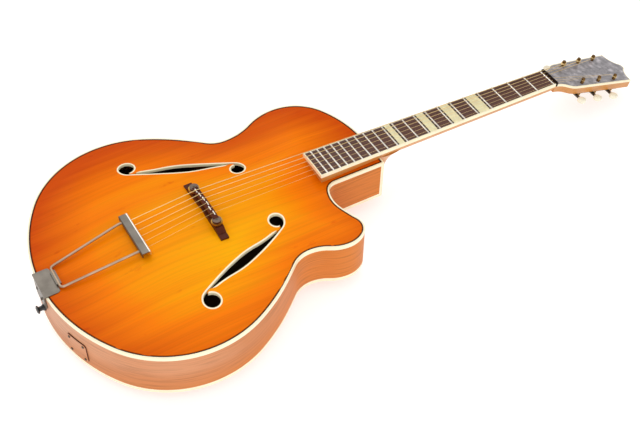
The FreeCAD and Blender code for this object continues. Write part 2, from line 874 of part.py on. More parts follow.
def make_nut():
    block = tapered_plan(head_origin_u, board_start_u, 0.0, -board_thickness, board_thickness)
    block = placed(crowned(block, nut_rise), neck_frame)
    for name in ("head_veneer", "head_binding"):
        pieces[name] = pieces[name].cut(block)
    for number, s, y, side in tuner_spots():
        zero = string_at_zero_fret(number)
        end = head_frame.multVec(winding_start(number, s, y, side)[0])
        line = end - zero
        half = string_diameters[number] / 2 + 3 * string_gap
        slot = box(V(0, -half, -half), V(line.Length / 2, half, board_thickness))
        slot.Placement = Placement(zero, Rotation(line, V(0, 1, 0), V(0, 0, 1), "XZY"))
        block = block.cut(slot)
    pieces["nut"] = block


def worm_thread():
    """Shaft with its screw thread along z, the crest facing +x in the middle of its length."""
    helix = Part.makeHelix(worm_lead, worm_lead * worm_turns, worm_core_radius)
    inner = worm_core_radius * 0.9
    profile = Part.makePolygon([V(inner, 0, -worm_root_width / 2), V(worm_tip_radius, 0, -worm_tip_width / 2),
                                V(worm_tip_radius, 0, worm_tip_width / 2), V(inner, 0, worm_root_width / 2),
                                V(inner, 0, -worm_root_width / 2)])
    thread = Part.Wire(helix.Edges).makePipeShell([profile], True, True)
    thread.Placement = Placement(V(0, 0, -worm_half), Rotation(Z_AXIS, 180 * (1 - worm_turns % 2)))
    if worm_turns % 2:
        thread.Placement = Placement(V(0, 0, 0), Rotation(Z_AXIS, 180)).multiply(thread.Placement)
    end = worm_half + ear_gap + ear_thickness
    core = rod(V(0, 0, -end - ear_gap), V(0, 0, button_start + button_length * 0.5), worm_core_radius)
    room = rod(V(0, 0, -worm_half), V(0, 0, worm_half), 2 * worm_tip_radius)
    collar = rod(V(0, 0, end + ear_gap), V(0, 0, button_start), button_collar_radius * 0.8)
    return core.multiFuse([thread.common(room), collar]).removeSplitter()


def gear_wheel():
    """Gear with a gap facing -x, on the plane z = 0."""
    root = gear_pitch_radius - gear_dedendum
    tip = gear_pitch_radius + gear_addendum
    corners = []
    for tooth in range(gear_teeth):
        centre = math.pi + (tooth + 0.5) * 2 * math.pi / gear_teeth
        for radius, width in ((root, -gear_tooth_root), (tip, -gear_tooth_tip),
                              (tip, gear_tooth_tip), (root, gear_tooth_root)):
            angle = centre + width / 2 / radius
            corners.append(V(radius * math.cos(angle), radius * math.sin(angle), 0))
    wheel = prism(Part.makePolygon(corners + corners[:1]), -gear_width / 2, gear_width / 2)
    corner = V(post_radius / 2, post_radius / 2, gear_width)
    return wheel.cut(box(corner * -1, corner))


def tuning_button():
    rim = Part.Ellipse(V(0, 0, 0), button_width / 2, button_length / 2)
    blank = prism(Part.Wire(rim.toShape()), -button_thickness / 2, button_thickness / 2)
    blank = blank.makeFillet(button_edge, blank.Edges)
    blank.translate(V(0, button_start + button_length / 2, 0))
    seat = rod(V(0, 0, 0), V(0, button_start + button_length * 0.5, 0), worm_core_radius)
    neck = rod(V(0, button_start, 0), V(0, button_start + button_collar_length * 2, 0), button_collar_radius)
    return blank.fuse(neck).cut(seat).removeSplitter()


def tuner_strip():
    """Strip plate of one side with the six ears that carry the worm shafts."""
    low, high = -strip_nut_end, 2 * strip_pitch + strip_end
    half = strip_half_width
    plate = box(V(low, -half, -strip_thickness), V(high, half, 0))
    plate = plate.makeFillet(half * 0.6, [e for e in plate.Edges if e.BoundBox.ZLength > strip_thickness / 2])
    ears = []
    axis_z = -strip_thickness - worm_drop
    inner = worm_half + ear_gap
    for row in range(3):
        u = row * strip_pitch - tuner_centres
        centre = V(row * strip_pitch, 0, 0)
        plate = plate.cut(rod(centre - Z_AXIS * half, centre + Z_AXIS * half, post_radius + running_fit))
        for v in (inner, -inner - ear_thickness):
            ear = box(V(u - ear_half_width, v, axis_z),
                      V(u + ear_half_width, v + ear_thickness, -strip_thickness))
            ear = ear.fuse(rod(V(u, v, axis_z), V(u, v + ear_thickness, axis_z), ear_half_width))
            ears.append(ear.cut(rod(V(u, v - 1, axis_z), V(u, v + ear_thickness + 1, axis_z),
                                    worm_core_radius + running_fit)))
    return plate.multiFuse(ears).removeSplitter()


def string_post(gear_z):
    top = head_thickness + post_rise
    shaft = rod(V(0, 0, -strip_thickness - collar_gap), V(0, 0, top), post_radius)
    rim = [e for e in shaft.Edges if e.BoundBox.ZMin > top - 0.01]
    shaft = shaft.makeFillet(post_radius * 0.4, rim)
    collar_low = gear_z + gear_width / 2
    collar = rod(V(0, 0, collar_low), V(0, 0, -strip_thickness - collar_gap), collar_radius)
    square = post_radius / 2
    tenon = box(V(-square, -square, gear_z - gear_width / 2), V(square, square, collar_low))
    hole_z = head_thickness + post_hole_height
    eye = rod(V(-2 * post_radius, 0, hole_z), V(2 * post_radius, 0, hole_z), post_hole_radius)
    return shaft.multiFuse([collar, tenon]).cut(eye).removeSplitter()


def gear_screw(gear_z):
    low = gear_z - gear_width / 2 - screw_head_height
    head = rod(V(0, 0, low), V(0, 0, low + screw_head_height), post_radius)
    slot = box(V(-post_radius, -screw_slot_width / 2, low - 1),
               V(post_radius, screw_slot_width / 2, low + screw_head_height / 2))
    return head.cut(slot)


def make_tuners():
    gear_z = -strip_thickness - worm_drop
    worm = placed(worm_thread(), Placement(V(-tuner_centres, 0, gear_z), Rotation(X_AXIS, -90)))
    button = tuning_button()
    button.translate(V(-tuner_centres, 0, gear_z))
    wheel = gear_wheel()
    wheel.translate(V(0, 0, gear_z))
    screw = gear_screw(gear_z)
    post = string_post(gear_z)
    turned = Placement(V(0, 0, 0), Rotation(X_AXIS, 180), V(0, 0, gear_z))
    for number, s, y, side in tuner_spots():
        name = "tuner_%d" % (number + 1)
        frame = tuner_frame(s, y, side)
        flip = frame if side > 0 else frame.multiply(turned)
        pieces[name + "_worm"] = placed(worm, flip)
        pieces[name + "_button"] = placed(button, flip)
        pieces[name + "_gear"] = placed(group([wheel, screw]), frame)
        pieces[name + "_post"] = group([placed(post, frame), make_winding(number, s, y, side)])
        axis = frame.Rotation.multVec(V(0, side, 0))
        spot = frame.multVec(V(-tuner_centres, 0, gear_z))
        joints.append((name + "_worm_turn", spot, axis))
        joints.append((name + "_post_turn", frame.multVec(V(0, 0, gear_z)), frame.Rotation.multVec(Z_AXIS)))
    strip = tuner_strip()
    first = tuner_spots()[0]
    strip = placed(strip, tuner_frame(first[1], first[2], first[3]))
    pieces["tuner_strips"] = group([strip, mirrored(strip)])


def make_bridge():
    seat = top_height(bridge_x, 0)
    base_top = seat + bridge_base_rise
    half = bridge_base_length / 2
    end_z = top_height(bridge_x, half) + bridge_end_height
    inner = half - bridge_end_step
    flat = bridge_post_y + wheel_radius
    low = seat - 2 * bridge_base_rise
    right = [V(0, 0, base_top), V(0, flat, base_top), V(0, inner, end_z + 1.0), V(0, inner, end_z),
             V(0, half, end_z - 1.0), V(0, half, low)]
    left = [V(0, -p.y, p.z) for p in reversed(right)]
    profile = Part.makePolygon(right[1:] + left[:-1] + right[1:2])
    base = Part.Face(profile).extrude(V(bridge_base_width, 0, 0))
    base.translate(V(bridge_x - bridge_compensation - bridge_base_width / 2, 0, 0))
    base = base.cut(under_top)
    tunnel = Part.Arc(V(0, -bridge_tunnel_half, low), V(0, 0, seat + bridge_tunnel_height),
                      V(0, bridge_tunnel_half, low)).toShape()
    floor = Part.LineSegment(V(0, -bridge_tunnel_half, low), V(0, bridge_tunnel_half, low)).toShape()
    arch = Part.Face(Part.Wire([tunnel, floor])).extrude(V(2 * bridge_base_width, 0, 0))
    arch.translate(V(bridge_x - bridge_compensation - bridge_base_width, 0, 0))
    base = base.cut(arch)
    x = bridge_x - bridge_compensation
    wheel_low = base_top + wheel_lift
    saddle_low = wheel_low + wheel_thickness + saddle_gap
    crown_z = bridge_line_z - saddle_wire_radius
    end_top = crown_z - saddle_end_drop
    posts = []
    holes = []
    for side in (1, -1):
        y = side * bridge_post_y
        post = rod(V(x, y, base_top - bridge_post_sunk), V(x, y, end_top), bridge_post_radius)
        base = base.cut(post)
        posts.append(post)
        holes.append(rod(V(x, y, saddle_low - 1), V(x, y, crown_z + 1), bridge_post_radius + running_fit))
        wheel = rod(V(x, y, wheel_low), V(x, y, wheel_low + wheel_thickness), wheel_radius)
        wheel = wheel.cut(rod(V(x, y, wheel_low - 1), V(x, y, wheel_low + wheel_thickness + 1),
                              bridge_post_radius + running_fit))
        notches = []
        for i in range(wheel_notches):
            turn = 2 * math.pi * i / wheel_notches
            spot = V(x + wheel_radius * math.cos(turn), y + wheel_radius * math.sin(turn), wheel_low - 1)
            notches.append(rod(spot, spot + V(0, 0, wheel_thickness + 2), wheel_notch_radius))
        wheel = wheel.cut(group(notches))
        pieces["thumbwheel_bass" if side > 0 else "thumbwheel_treble"] = wheel
        joints.append(("thumbwheel_bass" if side > 0 else "thumbwheel_treble", V(x, y, wheel_low), Z_AXIS))
    pieces["bridge_base"] = base
    pieces["bridge_posts"] = group(posts)

    plan = box(V(x - saddle_width / 2, -bridge_post_y, saddle_low),
               V(x + saddle_width / 2, bridge_post_y, crown_z))
    discs = [rod(V(x, y, saddle_low), V(x, y, end_top), saddle_disc_radius)
             for y in (bridge_post_y, -bridge_post_y)]
    crest = V(0, 0, crown_z)
    shoulder = crown_z - crown_drop(saddle_crown_half)
    run = saddle_crown_half + 2 * saddle_end_drop
    edges = [Part.Arc(V(0, -saddle_crown_half, shoulder), crest, V(0, saddle_crown_half, shoulder)).toShape()]
    corners = [V(0, saddle_crown_half, shoulder), V(0, run, end_top), V(0, 2 * run, end_top),
               V(0, 2 * run, saddle_low - 1)]
    corners += [V(0, -corner.y, corner.z) for corner in reversed(corners)]
    edges += Part.makePolygon(corners).Edges
    side_view = Part.Face(Part.Wire(Part.__sortEdges__(edges))).extrude(V(4 * saddle_width, 0, 0))
    side_view.translate(V(x - 2 * saddle_width, 0, 0))
    saddle = plan.common(side_view).multiFuse(discs).removeSplitter().cut(group(holes))
    wires = []
    for number in range(6):
        y = string_y(number, string_span_bridge)
        wire_x = bridge_x - string_comp[number]
        z = bridge_line_z - saddle_wire_radius - crown_drop(y)
        wire_half = Y_AXIS * (saddle_wire_length / 2)
        wire = rod(V(wire_x, y, z) - wire_half, V(wire_x, y, z) + wire_half, saddle_wire_radius)
        saddle = saddle.cut(wire)
        wires.append(wire)
    pieces["bridge_saddle"] = saddle
    pieces["saddle_wires"] = group(wires)


def bent_path(points, tangent_length):
    """Straight runs through the points, with every corner rounded to the same tangent length."""
    edges = []
    last = points[0]
    for before, corner, after in zip(points, points[1:], points[2:]):
        back = (before - corner).normalize()
        ahead = (after - corner).normalize()
        half_angle = math.acos(back.dot(ahead)) / 2
        inward = (back + ahead).normalize()
        depth = tangent_length / math.cos(half_angle) - tangent_length * math.tan(half_angle)
        into = corner + back * tangent_length
        out = corner + ahead * tangent_length
        edges.append(Part.LineSegment(last, into).toShape())
        edges.append(Part.Arc(into, corner + inward * depth, out).toShape())
        last = out
    edges.append(Part.LineSegment(last, points[-1]).toShape())
    return Part.Wire(edges)


def make_tailpiece():
    back_x = bar_front_x - bar_depth
    half = bar_length / 2
    low = bar_top_z - bar_height
    outer = box(V(back_x, -half, low), V(bar_front_x, half, bar_top_z))
    tops = [e for e in outer.Edges if e.BoundBox.ZMin > bar_top_z - 0.01 and e.BoundBox.YLength > 1]
    outer = outer.makeFillet(bar_sheet * 1.2, tops)
    hollow = box(V(back_x + bar_sheet, -half - 1, low - 1),
                 V(bar_front_x - bar_sheet, half + 1, bar_top_z - bar_sheet))
    bar = outer.cut(hollow)
    for number in range(6):
        spot = string_at_tailpiece(number)
        hole_radius = string_diameters[number] / 2 + string_gap
        bar = bar.cut(rod(spot - X_AXIS * 2 * bar_sheet, spot + X_AXIS, hole_radius))
    seat_z = bar_top_z - bar_string_drop
    inside = V(back_x + bar_sheet, wire_top_half, seat_z)
    elbow = V(back_x - wire_bend, wire_top_half, seat_z)
    base = V(hinge_x, wire_base_half, hinge_z)
    bass = [inside, elbow, base]
    treble = [V(p.x, -p.y, p.z) for p in reversed(bass)]
    path = bent_path(bass + treble, wire_bend)
    profile = Part.Wire(Part.makeCircle(wire_radius, inside, X_AXIS))
    wire = path.makePipeShell([profile], True, False)
    knobs = []
    for side in (1, -1):
        end = V(inside.x, side * inside.y, seat_z)
        knobs.append(rod(end, end + X_AXIS * wire_head_radius, wire_head_radius))
        bar = bar.cut(rod(end - X_AXIS * 2 * bar_sheet, end, wire_radius))
    pieces["tailpiece_bar"] = bar
    pieces["trapeze_wire"] = wire.multiFuse(knobs)
    joints.append(("tailpiece_hinge", V(hinge_x, 0, hinge_z), Y_AXIS * -1))

    edge_x = tail_x - bracket_sheet
    plate = box(V(edge_x, -bracket_half_width, 0),
                V(hinge_x - wire_radius, bracket_half_width, bracket_sheet))
    front = [e for e in plate.Edges if e.BoundBox.ZLength > 1 and e.BoundBox.XMin > edge_x + 1]
    plate = plate.makeFillet(bracket_corner, front)
    leg = box(V(edge_x, -bracket_leg_half, -bracket_leg_depth), V(tail_x, bracket_leg_half, bracket_sheet))
    low_edges = [e for e in leg.Edges if e.BoundBox.XLength > 1 and e.BoundBox.ZMax < -1]
    leg = leg.makeFillet(bracket_corner * 2, low_edges)
    leg = leg.cut(body_block)
    centre = V(hinge_x, 0, hinge_z)
    reach = Y_AXIS * lip_half
    lip = rod(centre - reach, centre + reach, wire_radius + running_fit + lip_wall)
    lip = lip.cut(box(V(hinge_x - 20, -30, hinge_z + lip_mouth), V(hinge_x + 20, 30, hinge_z + 20)))
    trough = rod(centre - reach * 2, centre + reach * 2, wire_radius + running_fit)
    foot = box(V(hinge_x - wire_radius - lip_wall, -lip_half, 0), V(hinge_x, lip_half, hinge_z - wire_radius))
    plate = plate.cut(rod(centre - reach * 4, centre + reach * 4, wire_radius + 0.3))
    bracket = plate.multiFuse([leg, lip, foot]).removeSplitter().cut(trough)
    pieces["tail_bracket"] = bracket.cut(under_top)


def wood_screw():
    """Round headed slotted screw whose head seats on z = 0, with its shank along -z."""
    head = rod(V(0, 0, 0), V(0, 0, screw_head_height), screw_head_radius)
    top = [e for e in head.Edges if e.BoundBox.ZMin > screw_head_height - 0.01]
    head = head.makeFillet(screw_head_height * 0.7, top)
    slot = box(V(-screw_head_radius, -screw_slot_width / 2, screw_head_height / 2),
               V(screw_head_radius, screw_slot_width / 2, 2 * screw_head_height))
    shank = rod(V(0, 0, -screw_shank_length), V(0, 0, 0), screw_shank_radius)
    return head.cut(slot).fuse(shank)


def outline_spot(y):
    """Point of the outline on the tail side of the treble half at y, and its outward direction."""
    best = min((p for p in outline_points if p.x < tail_x + lower_bout_from_tail),
               key=lambda p: abs(p.y - y))
    index = outline_points.index(best)
    along = outline_points[(index + 1) % len(outline_points)] - outline_points[index - 1]
    out = V(-along.y, along.x, 0)
    out.normalize()
    return best, out


# Places of the four screws along a strip, between the gears
strip_screws = (3.5 - strip_nut_end, strip_pitch * 0.5, strip_pitch * 1.5, 2 * strip_pitch + strip_end * 0.65)


def make_small_parts():
    screws = []
    screw = wood_screw()
    leg_x = tail_x - bracket_sheet
    for y, z in ((-bracket_leg_half * 0.55, -14.0), (bracket_leg_half * 0.55, -14.0), (0.0, -27.0)):
        screws.append(placed(screw, Placement(V(leg_x, y, z), Rotation(Z_AXIS, X_AXIS * -1))))

    spot, out = outline_spot(cover_y)
    along = V(-out.y, out.x, 0)
    frame = Placement(V(spot.x, spot.y, cover_z), Rotation(along, Z_AXIS, out, "ZXY"))
    corner = V(cover_length / 2, cover_height / 2, cover_length)
    blank = box(corner * -1, corner)
    blank = blank.makeFillet(cover_corner, [e for e in blank.Edges if e.BoundBox.ZLength > cover_length])
    skin = ring(outline.makeOffset2D(cover_thickness), outline, -deep, 0)
    cover = skin.common(placed(blank, frame))
    inner_u, inner_w = cover_length / 2 - cover_corner, cover_height / 2 - cover_corner
    for u, w in ((inner_u, inner_w), (-inner_u, inner_w), (inner_u, -inner_w), (-inner_u, -inner_w)):
        deep_end = frame.multVec(V(u, w, -cover_length / 2))
        ray = Part.LineSegment(deep_end, deep_end + out * cover_length).toShape()
        hit = max((v.Point for v in cover.common(ray).Vertexes), key=lambda p: (p - spot).dot(out))
        screws.append(placed(screw, Placement(hit, frame.Rotation)))
    pieces["cover_plate"] = cover

    profile = [V(0, 0, 0), V(strap_base_radius, 0, 0), V(strap_base_radius, 0, strap_length * 0.15),
               V(strap_neck_radius, 0, strap_length * 0.35), V(strap_neck_radius, 0, strap_length * 0.65),
               V(strap_head_radius, 0, strap_length * 0.8), V(strap_head_radius, 0, strap_length * 0.9),
               V(strap_head_radius * 0.6, 0, strap_length), V(0, 0, strap_length), V(0, 0, 0)]
    button = Part.Face(Part.makePolygon(profile)).revolve(V(0, 0, 0), Z_AXIS, 360)
    button = placed(button, Placement(V(tail_x, 0, strap_button_z), Rotation(Z_AXIS, X_AXIS * -1)))
    pieces["strap_button"] = button.cut(body_block)

    for side in (1, -1):
        for u in strip_screws:
            first = tuner_spots()[0 if side > 0 else 5]
            frame = tuner_frame(first[1], first[2], side)
            spot = Placement(V(u, side * strip_half_width * 0.4, -strip_thickness), Rotation(X_AXIS, 180))
            screws.append(placed(screw, frame.multiply(spot)))
    screw_room = group(screws)
    pieces["wood_screws"] = screw_room
    for name in ("tail_bracket", "cover_plate", "tuner_strips", "neck", "bass_rib", "treble_rib",
                 "tail_block", "linings"):
        pieces[name] = pieces[name].cut(screw_room)


joints = []
make_neck(make_body())
make_fingerboard()
make_nut()
make_strings()
make_tuners()
make_bridge()
make_tailpiece()
make_small_parts()

# The origin goes to the middle of the guitar's footprint, on the surface that it lies on
whole = group(list(pieces.values())).optimalBoundingBox(False, False)
shift = V(-(whole.XMin + whole.XMax) / 2, -(whole.YMin + whole.YMax) / 2, -whole.ZMin)
os.makedirs("parts", exist_ok=True)
for name, shape in pieces.items():
    shape = shape.copy()
    shape.translate(shift)
    shape.exportStep("parts/%s.step" % name)
    bad = "" if shape.isValid() else " NOT VALID"
    print("%s: %d solids, %.0f mm3%s" % (name, len(shape.Solids), shape.Volume, bad))
print("shift", shift)
for name, spot, axis in joints:
    spot = spot + shift
    print("joint %s at %.3f %.3f %.3f" % (name, spot.x, spot.y, spot.z), end=" ")
    print("along %.6f %.6f %.6f" % (axis.x, axis.y, axis.z))
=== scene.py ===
import json
import math

import bmesh
import bpy
from mathutils import Matrix, Vector
from mathutils.bvhtree import BVHTree
from mathutils.geometry import delaunay_2d_cdt
from mathutils.kdtree import KDTree

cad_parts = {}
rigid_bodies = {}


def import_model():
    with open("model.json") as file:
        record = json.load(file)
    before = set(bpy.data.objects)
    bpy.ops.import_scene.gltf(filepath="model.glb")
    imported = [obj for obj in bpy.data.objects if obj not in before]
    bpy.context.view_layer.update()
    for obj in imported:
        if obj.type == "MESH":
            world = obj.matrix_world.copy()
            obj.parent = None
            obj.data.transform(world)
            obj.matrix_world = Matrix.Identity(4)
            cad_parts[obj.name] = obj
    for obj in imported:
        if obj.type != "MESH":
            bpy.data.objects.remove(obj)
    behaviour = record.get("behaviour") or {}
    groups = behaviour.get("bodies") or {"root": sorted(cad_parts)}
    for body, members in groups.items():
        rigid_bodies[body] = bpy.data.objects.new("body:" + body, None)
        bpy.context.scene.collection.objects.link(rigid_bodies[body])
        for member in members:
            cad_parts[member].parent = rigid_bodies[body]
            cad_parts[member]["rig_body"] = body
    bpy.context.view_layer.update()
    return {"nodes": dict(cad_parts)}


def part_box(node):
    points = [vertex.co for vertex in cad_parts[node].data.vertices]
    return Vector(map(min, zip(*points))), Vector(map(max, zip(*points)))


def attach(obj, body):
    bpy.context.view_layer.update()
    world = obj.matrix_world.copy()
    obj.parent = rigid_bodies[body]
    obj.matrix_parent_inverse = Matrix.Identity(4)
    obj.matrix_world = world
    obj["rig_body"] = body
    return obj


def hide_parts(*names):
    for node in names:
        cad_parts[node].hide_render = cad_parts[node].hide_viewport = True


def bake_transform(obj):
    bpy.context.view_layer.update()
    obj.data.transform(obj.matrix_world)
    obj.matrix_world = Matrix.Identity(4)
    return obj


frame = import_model()

bl_info = {
    "name": "Archtop guitar dressing",
    "version": (1, 0, 0),
    "blender": (4, 5, 0),
    "location": "3D View > Sidebar > Guitar",
    "description": "Dresses the packed archtop guitar in its woods, celluloid, metals and strings",
    "category": "Object",
}

MM = 0.001
# Points of a CAD mesh nearer than this are the same point
MERGE = 0.002 * MM

# The photograph's camera, found from the fret lines: width in pixels, angles in degrees, lengths in metres
IMAGE_WIDTH = 640
PHOTO_FOCAL_PIXELS = 1098.56
PHOTO_AZIMUTH = -31.6358
PHOTO_ELEVATION = 48.1002
PHOTO_ROLL = 1.3664
PHOTO_DISTANCE = 1.641846
PHOTO_TARGET = (-0.1245727, -0.0764065, 0.097556)
SENSOR_MM = 36.0

# The studio: half the floor and the spot the lights look at in metres, then each light's name, place,
# width in metres and power in watts
FLOOR_HALF = 6.0
FLOOR_GLOW = 0.55
WORLD_STRENGTH = 0.62
LIT_SPOT = (-0.1, 0.0, 0.1)
SOFTBOXES = (
    ("softbox_above", (-0.2, 0.9, 2.0), 2.4, 20.0),
    ("softbox_front", (-1.3, -2.3, 1.0), 2.0, 20.0),
    ("softbox_right", (1.8, -1.2, 1.6), 1.2, 5.0),
)


def linear(code):
    """An sRGB hex colour as linear red, green, blue and alpha."""
    shares = [int(code[i:i + 2], 16) / 255 for i in (1, 3, 5)]
    return tuple(s / 12.92 if s <= 0.04045 else ((s + 0.055) / 1.055) ** 2.4 for s in shares) + (1.0,)


def toned(colour, share):
    """A colour made darker, with a share below 1, or lighter."""
    return tuple(min(1.0, c * share) for c in tuple(colour)[:3]) + (1.0,)


def colour_choice(name, description, code):
    """A colour that a user may change, from its sRGB hex value."""
    return bpy.props.FloatVectorProperty(
        name=name, description=description, subtype="COLOR", size=4, min=0.0, max=1.0,
        default=linear(code))


def length_choice(name, description, millimetres):
    """A length that a user may change."""
    return bpy.props.FloatProperty(
        name=name, description=description, unit="LENGTH", min=0.0, precision=5,
        default=millimetres * MM)


class GuitarColours(bpy.types.PropertyGroup):
    """Colours of the guitar's finishes."""
    burst_centre: colour_choice("Burst centre", "Lacquer of the top between the sound holes", "#FFAE03")
    burst_middle: colour_choice("Burst middle", "Lacquer of the top half way to the edge", "#F97D02")
    burst_edge: colour_choice("Burst edge", "Lacquer of the top along the binding", "#CF4C02")
    rib: colour_choice("Rib at the tail", "Stain of the bent sides at the tail", "#DCA07A")
    rib_middle: colour_choice("Rib at the waist", "Stain of the bent sides half way", "#D08452")
    rib_horn: colour_choice("Rib at the horn", "Stain of the bent sides at the cutaway", "#DA7E34")
    neck: colour_choice("Neck", "Neck, heel and head", "#D08C45")
    rosewood: colour_choice("Rosewood", "Fingerboard", "#563022")
    bridge: colour_choice("Bridge rosewood", "Bridge foot and saddle", "#54220F")
    cream: colour_choice("Cream celluloid", "Bindings and sound hole lining", "#FFF0CC")
    pearl: colour_choice("Pearl blocks", "Blocks in the fingerboard", "#FFEFC0")
    head_plate: colour_choice("Head plate", "Pearl celluloid on the head", "#BDB6BA")
    nickel: colour_choice("Nickel", "Tailpiece and machine strips", "#7F786F")
    bronze: colour_choice("String bronze", "Wrap of the strings", "#FFDE9C")
    floor: colour_choice("Floor", "Studio floor", "#DCDBDA")


class GuitarSizes(bpy.types.PropertyGroup):
    """Sizes that only the dressing uses."""
    burst_reach: length_choice("Burst reach", "How far the dark edge of the burst fades inwards", 90.0)
    skin_spacing: length_choice("Skin spacing", "Distance of the points on the carved plates", 6.0)
    # Real turns lie less than half a millimetre apart, too fine to show, so they are drawn coarser
    wrap_spacing: length_choice("Wrap spacing", "Distance of the turns drawn on a wound string", 1.6)
    plain_radius: length_choice("Plain string", "Strings up to this radius have no wrap", 0.25)
    wrap_depth: bpy.props.FloatProperty(
        name="Wrap depth", description="Groove between two turns as a share of the radius",
        subtype="FACTOR", min=0.0, max=0.5, default=0.16)


def add(tree, kind, settings, links):
    """Adds a node. Settings are its attributes, or a ramp's stops, and links set or join its inputs."""
    made = tree.nodes.new(kind)
    for name, value in settings.items():
        if name == "stops":
            ramp = made.color_ramp.elements
            while len(ramp) < len(value):
                ramp.new(0.5)
            for element, (place, colour) in zip(ramp, value):
                element.position, element.color = place, colour
        else:
            setattr(made, name, value)
    for name, value in links.items():
        if isinstance(value, bpy.types.NodeSocket):
            tree.links.new(value, made.inputs[name])
        else:
            made.inputs[name].default_value = value
    return made


def start_finish(name, constants):
    """A new material with one shader, whose constants are set on its own sockets."""
    made = bpy.data.materials.new(name)
    made.use_nodes = True
    tree = made.node_tree
    tree.nodes.clear()
    shader = add(tree, "ShaderNodeBsdfPrincipled", {}, constants)
    add(tree, "ShaderNodeOutputMaterial", {}, {"Surface": shader.outputs[0]})
    place = add(tree, "ShaderNodeTexCoord", {}, {}).outputs["Object"]
    return made, tree, shader, place


def grey(value):
    """A linear grey."""
    return (value, value, value, 1.0)


def pattern_scale(*sizes):
    """Scale of a pattern from its sizes in millimetres along x, y and z. Along a size of 0 it is even."""
    return tuple(1.0 / (size * MM) if size else 0.0 for size in sizes)


def lacquered_spruce():
    """Spruce under a sprayed burst and worn lacquer: long soft streaks, yellow middle, red-brown edge."""
    colours, sizes = bpy.context.scene.guitar_colours, bpy.context.scene.guitar_sizes
    bright_x, bright_y, narrowing = -0.267, -0.08, 1.2
    rim_level, inner_level, fade_per_metre = 0.42, 0.8, 1.99
    streak_share, line_share, knot_share = 0.4, 0.55, 0.8
    pool_start, pool_end, pool_level = 0.6 * MM, 1.8 * MM, 0.22
    made, tree, shader, place = start_finish("lacquered_spruce_sunburst", {
        "Roughness": 0.4, "Specular IOR Level": 0.02, "Coat Weight": 0.05, "Coat Roughness": 0.12})
    gap = add(tree, "ShaderNodeAttribute", {"attribute_name": "edge_gap"}, {}).outputs["Fac"]
    # Broad streaks 14 mm wide and 400 mm long, then grain lines. Real lines lie 1 to 2 mm apart, about a
    # pixel, so they are drawn 3 mm apart to show
    streak_place = add(tree, "ShaderNodeMapping", {}, {
        "Vector": place, "Scale": pattern_scale(400.0, 14.3, 400.0)})
    streaks = add(tree, "ShaderNodeTexNoise", {}, {
        "Vector": streak_place.outputs[0], "Scale": 1.0, "Detail": 3.0, "Roughness": 0.55})
    line_place = add(tree, "ShaderNodeMapping", {}, {
        "Vector": place, "Scale": pattern_scale(333.0, 3.03, 333.0)})
    lines = add(tree, "ShaderNodeTexNoise", {}, {
        "Vector": line_place.outputs[0], "Scale": 1.0, "Detail": 2.0, "Roughness": 0.5})
    # The spray fades from the rim inwards, and all over away from one bright place on the treble side
    from_rim = add(tree, "ShaderNodeMapRange", {}, {
        "Value": gap, "From Max": sizes.burst_reach, "To Min": rim_level, "To Max": inner_level})
    aim = add(tree, "ShaderNodeMapping", {"vector_type": "POINT"}, {
        "Vector": place, "Location": (-bright_x, -bright_y * narrowing, 0.0),
        "Scale": (1.0, narrowing, 0.0)})
    away = add(tree, "ShaderNodeVectorMath", {"operation": "LENGTH"}, {"Vector": aim.outputs[0]})
    sprayed = add(tree, "ShaderNodeMath", {"operation": "MULTIPLY_ADD"}, {
        0: away.outputs["Value"], 1: -fade_per_metre, 2: from_rim.outputs[0]})
    drift = add(tree, "ShaderNodeMath", {"operation": "MULTIPLY_ADD"}, {
        0: streaks.outputs["Fac"], 1: streak_share, 2: sprayed.outputs[0]})
    burst = add(tree, "ShaderNodeValToRGB", {"stops": (
        (0.0, tuple(colours.burst_edge)), (0.5, tuple(colours.burst_middle)),
        (1.0, tuple(colours.burst_centre)))}, {"Fac": drift.outputs[0]})
    tint = add(tree, "ShaderNodeValToRGB", {"stops": (
        (0.32, grey(0.86)), (0.55, grey(1.0)))}, {"Fac": lines.outputs["Fac"]})
    grain = add(tree, "ShaderNodeMix", {"data_type": "RGBA", "blend_type": "MULTIPLY"}, {
        0: line_share, 6: burst.outputs[0], 7: tint.outputs[0]})
    # Faint knots and stains, the peaks of a pattern 36 mm long and 18 mm wide
    knot_place = add(tree, "ShaderNodeMapping", {}, {
        "Vector": place, "Scale": pattern_scale(35.7, 18.2, 0.0)})
    knots = add(tree, "ShaderNodeTexNoise", {}, {
        "Vector": knot_place.outputs[0], "Scale": 1.0, "Detail": 3.0, "Roughness": 0.6})
    smudge = add(tree, "ShaderNodeValToRGB", {"stops": (
        (0.66, grey(1.0)), (0.76, linear("#F0C8A8")))}, {"Fac": knots.outputs["Fac"]})
    marked = add(tree, "ShaderNodeMix", {"data_type": "RGBA", "blend_type": "MULTIPLY"}, {
        0: knot_share, 6: grain.outputs[2], 7: smudge.outputs[0]})
    # A dark line where the lacquer pools against the binding
    pool = add(tree, "ShaderNodeMapRange", {}, {
        "Value": gap, "From Min": pool_start, "From Max": pool_end, "To Min": pool_level, "To Max": 1.0})
    rimmed = add(tree, "ShaderNodeMix", {"data_type": "RGBA", "blend_type": "MULTIPLY"}, {
        0: 1.0, 6: marked.outputs[2], 7: pool.outputs[0]})
    tree.links.new(rimmed.outputs[2], shader.inputs["Base Color"])
    return made


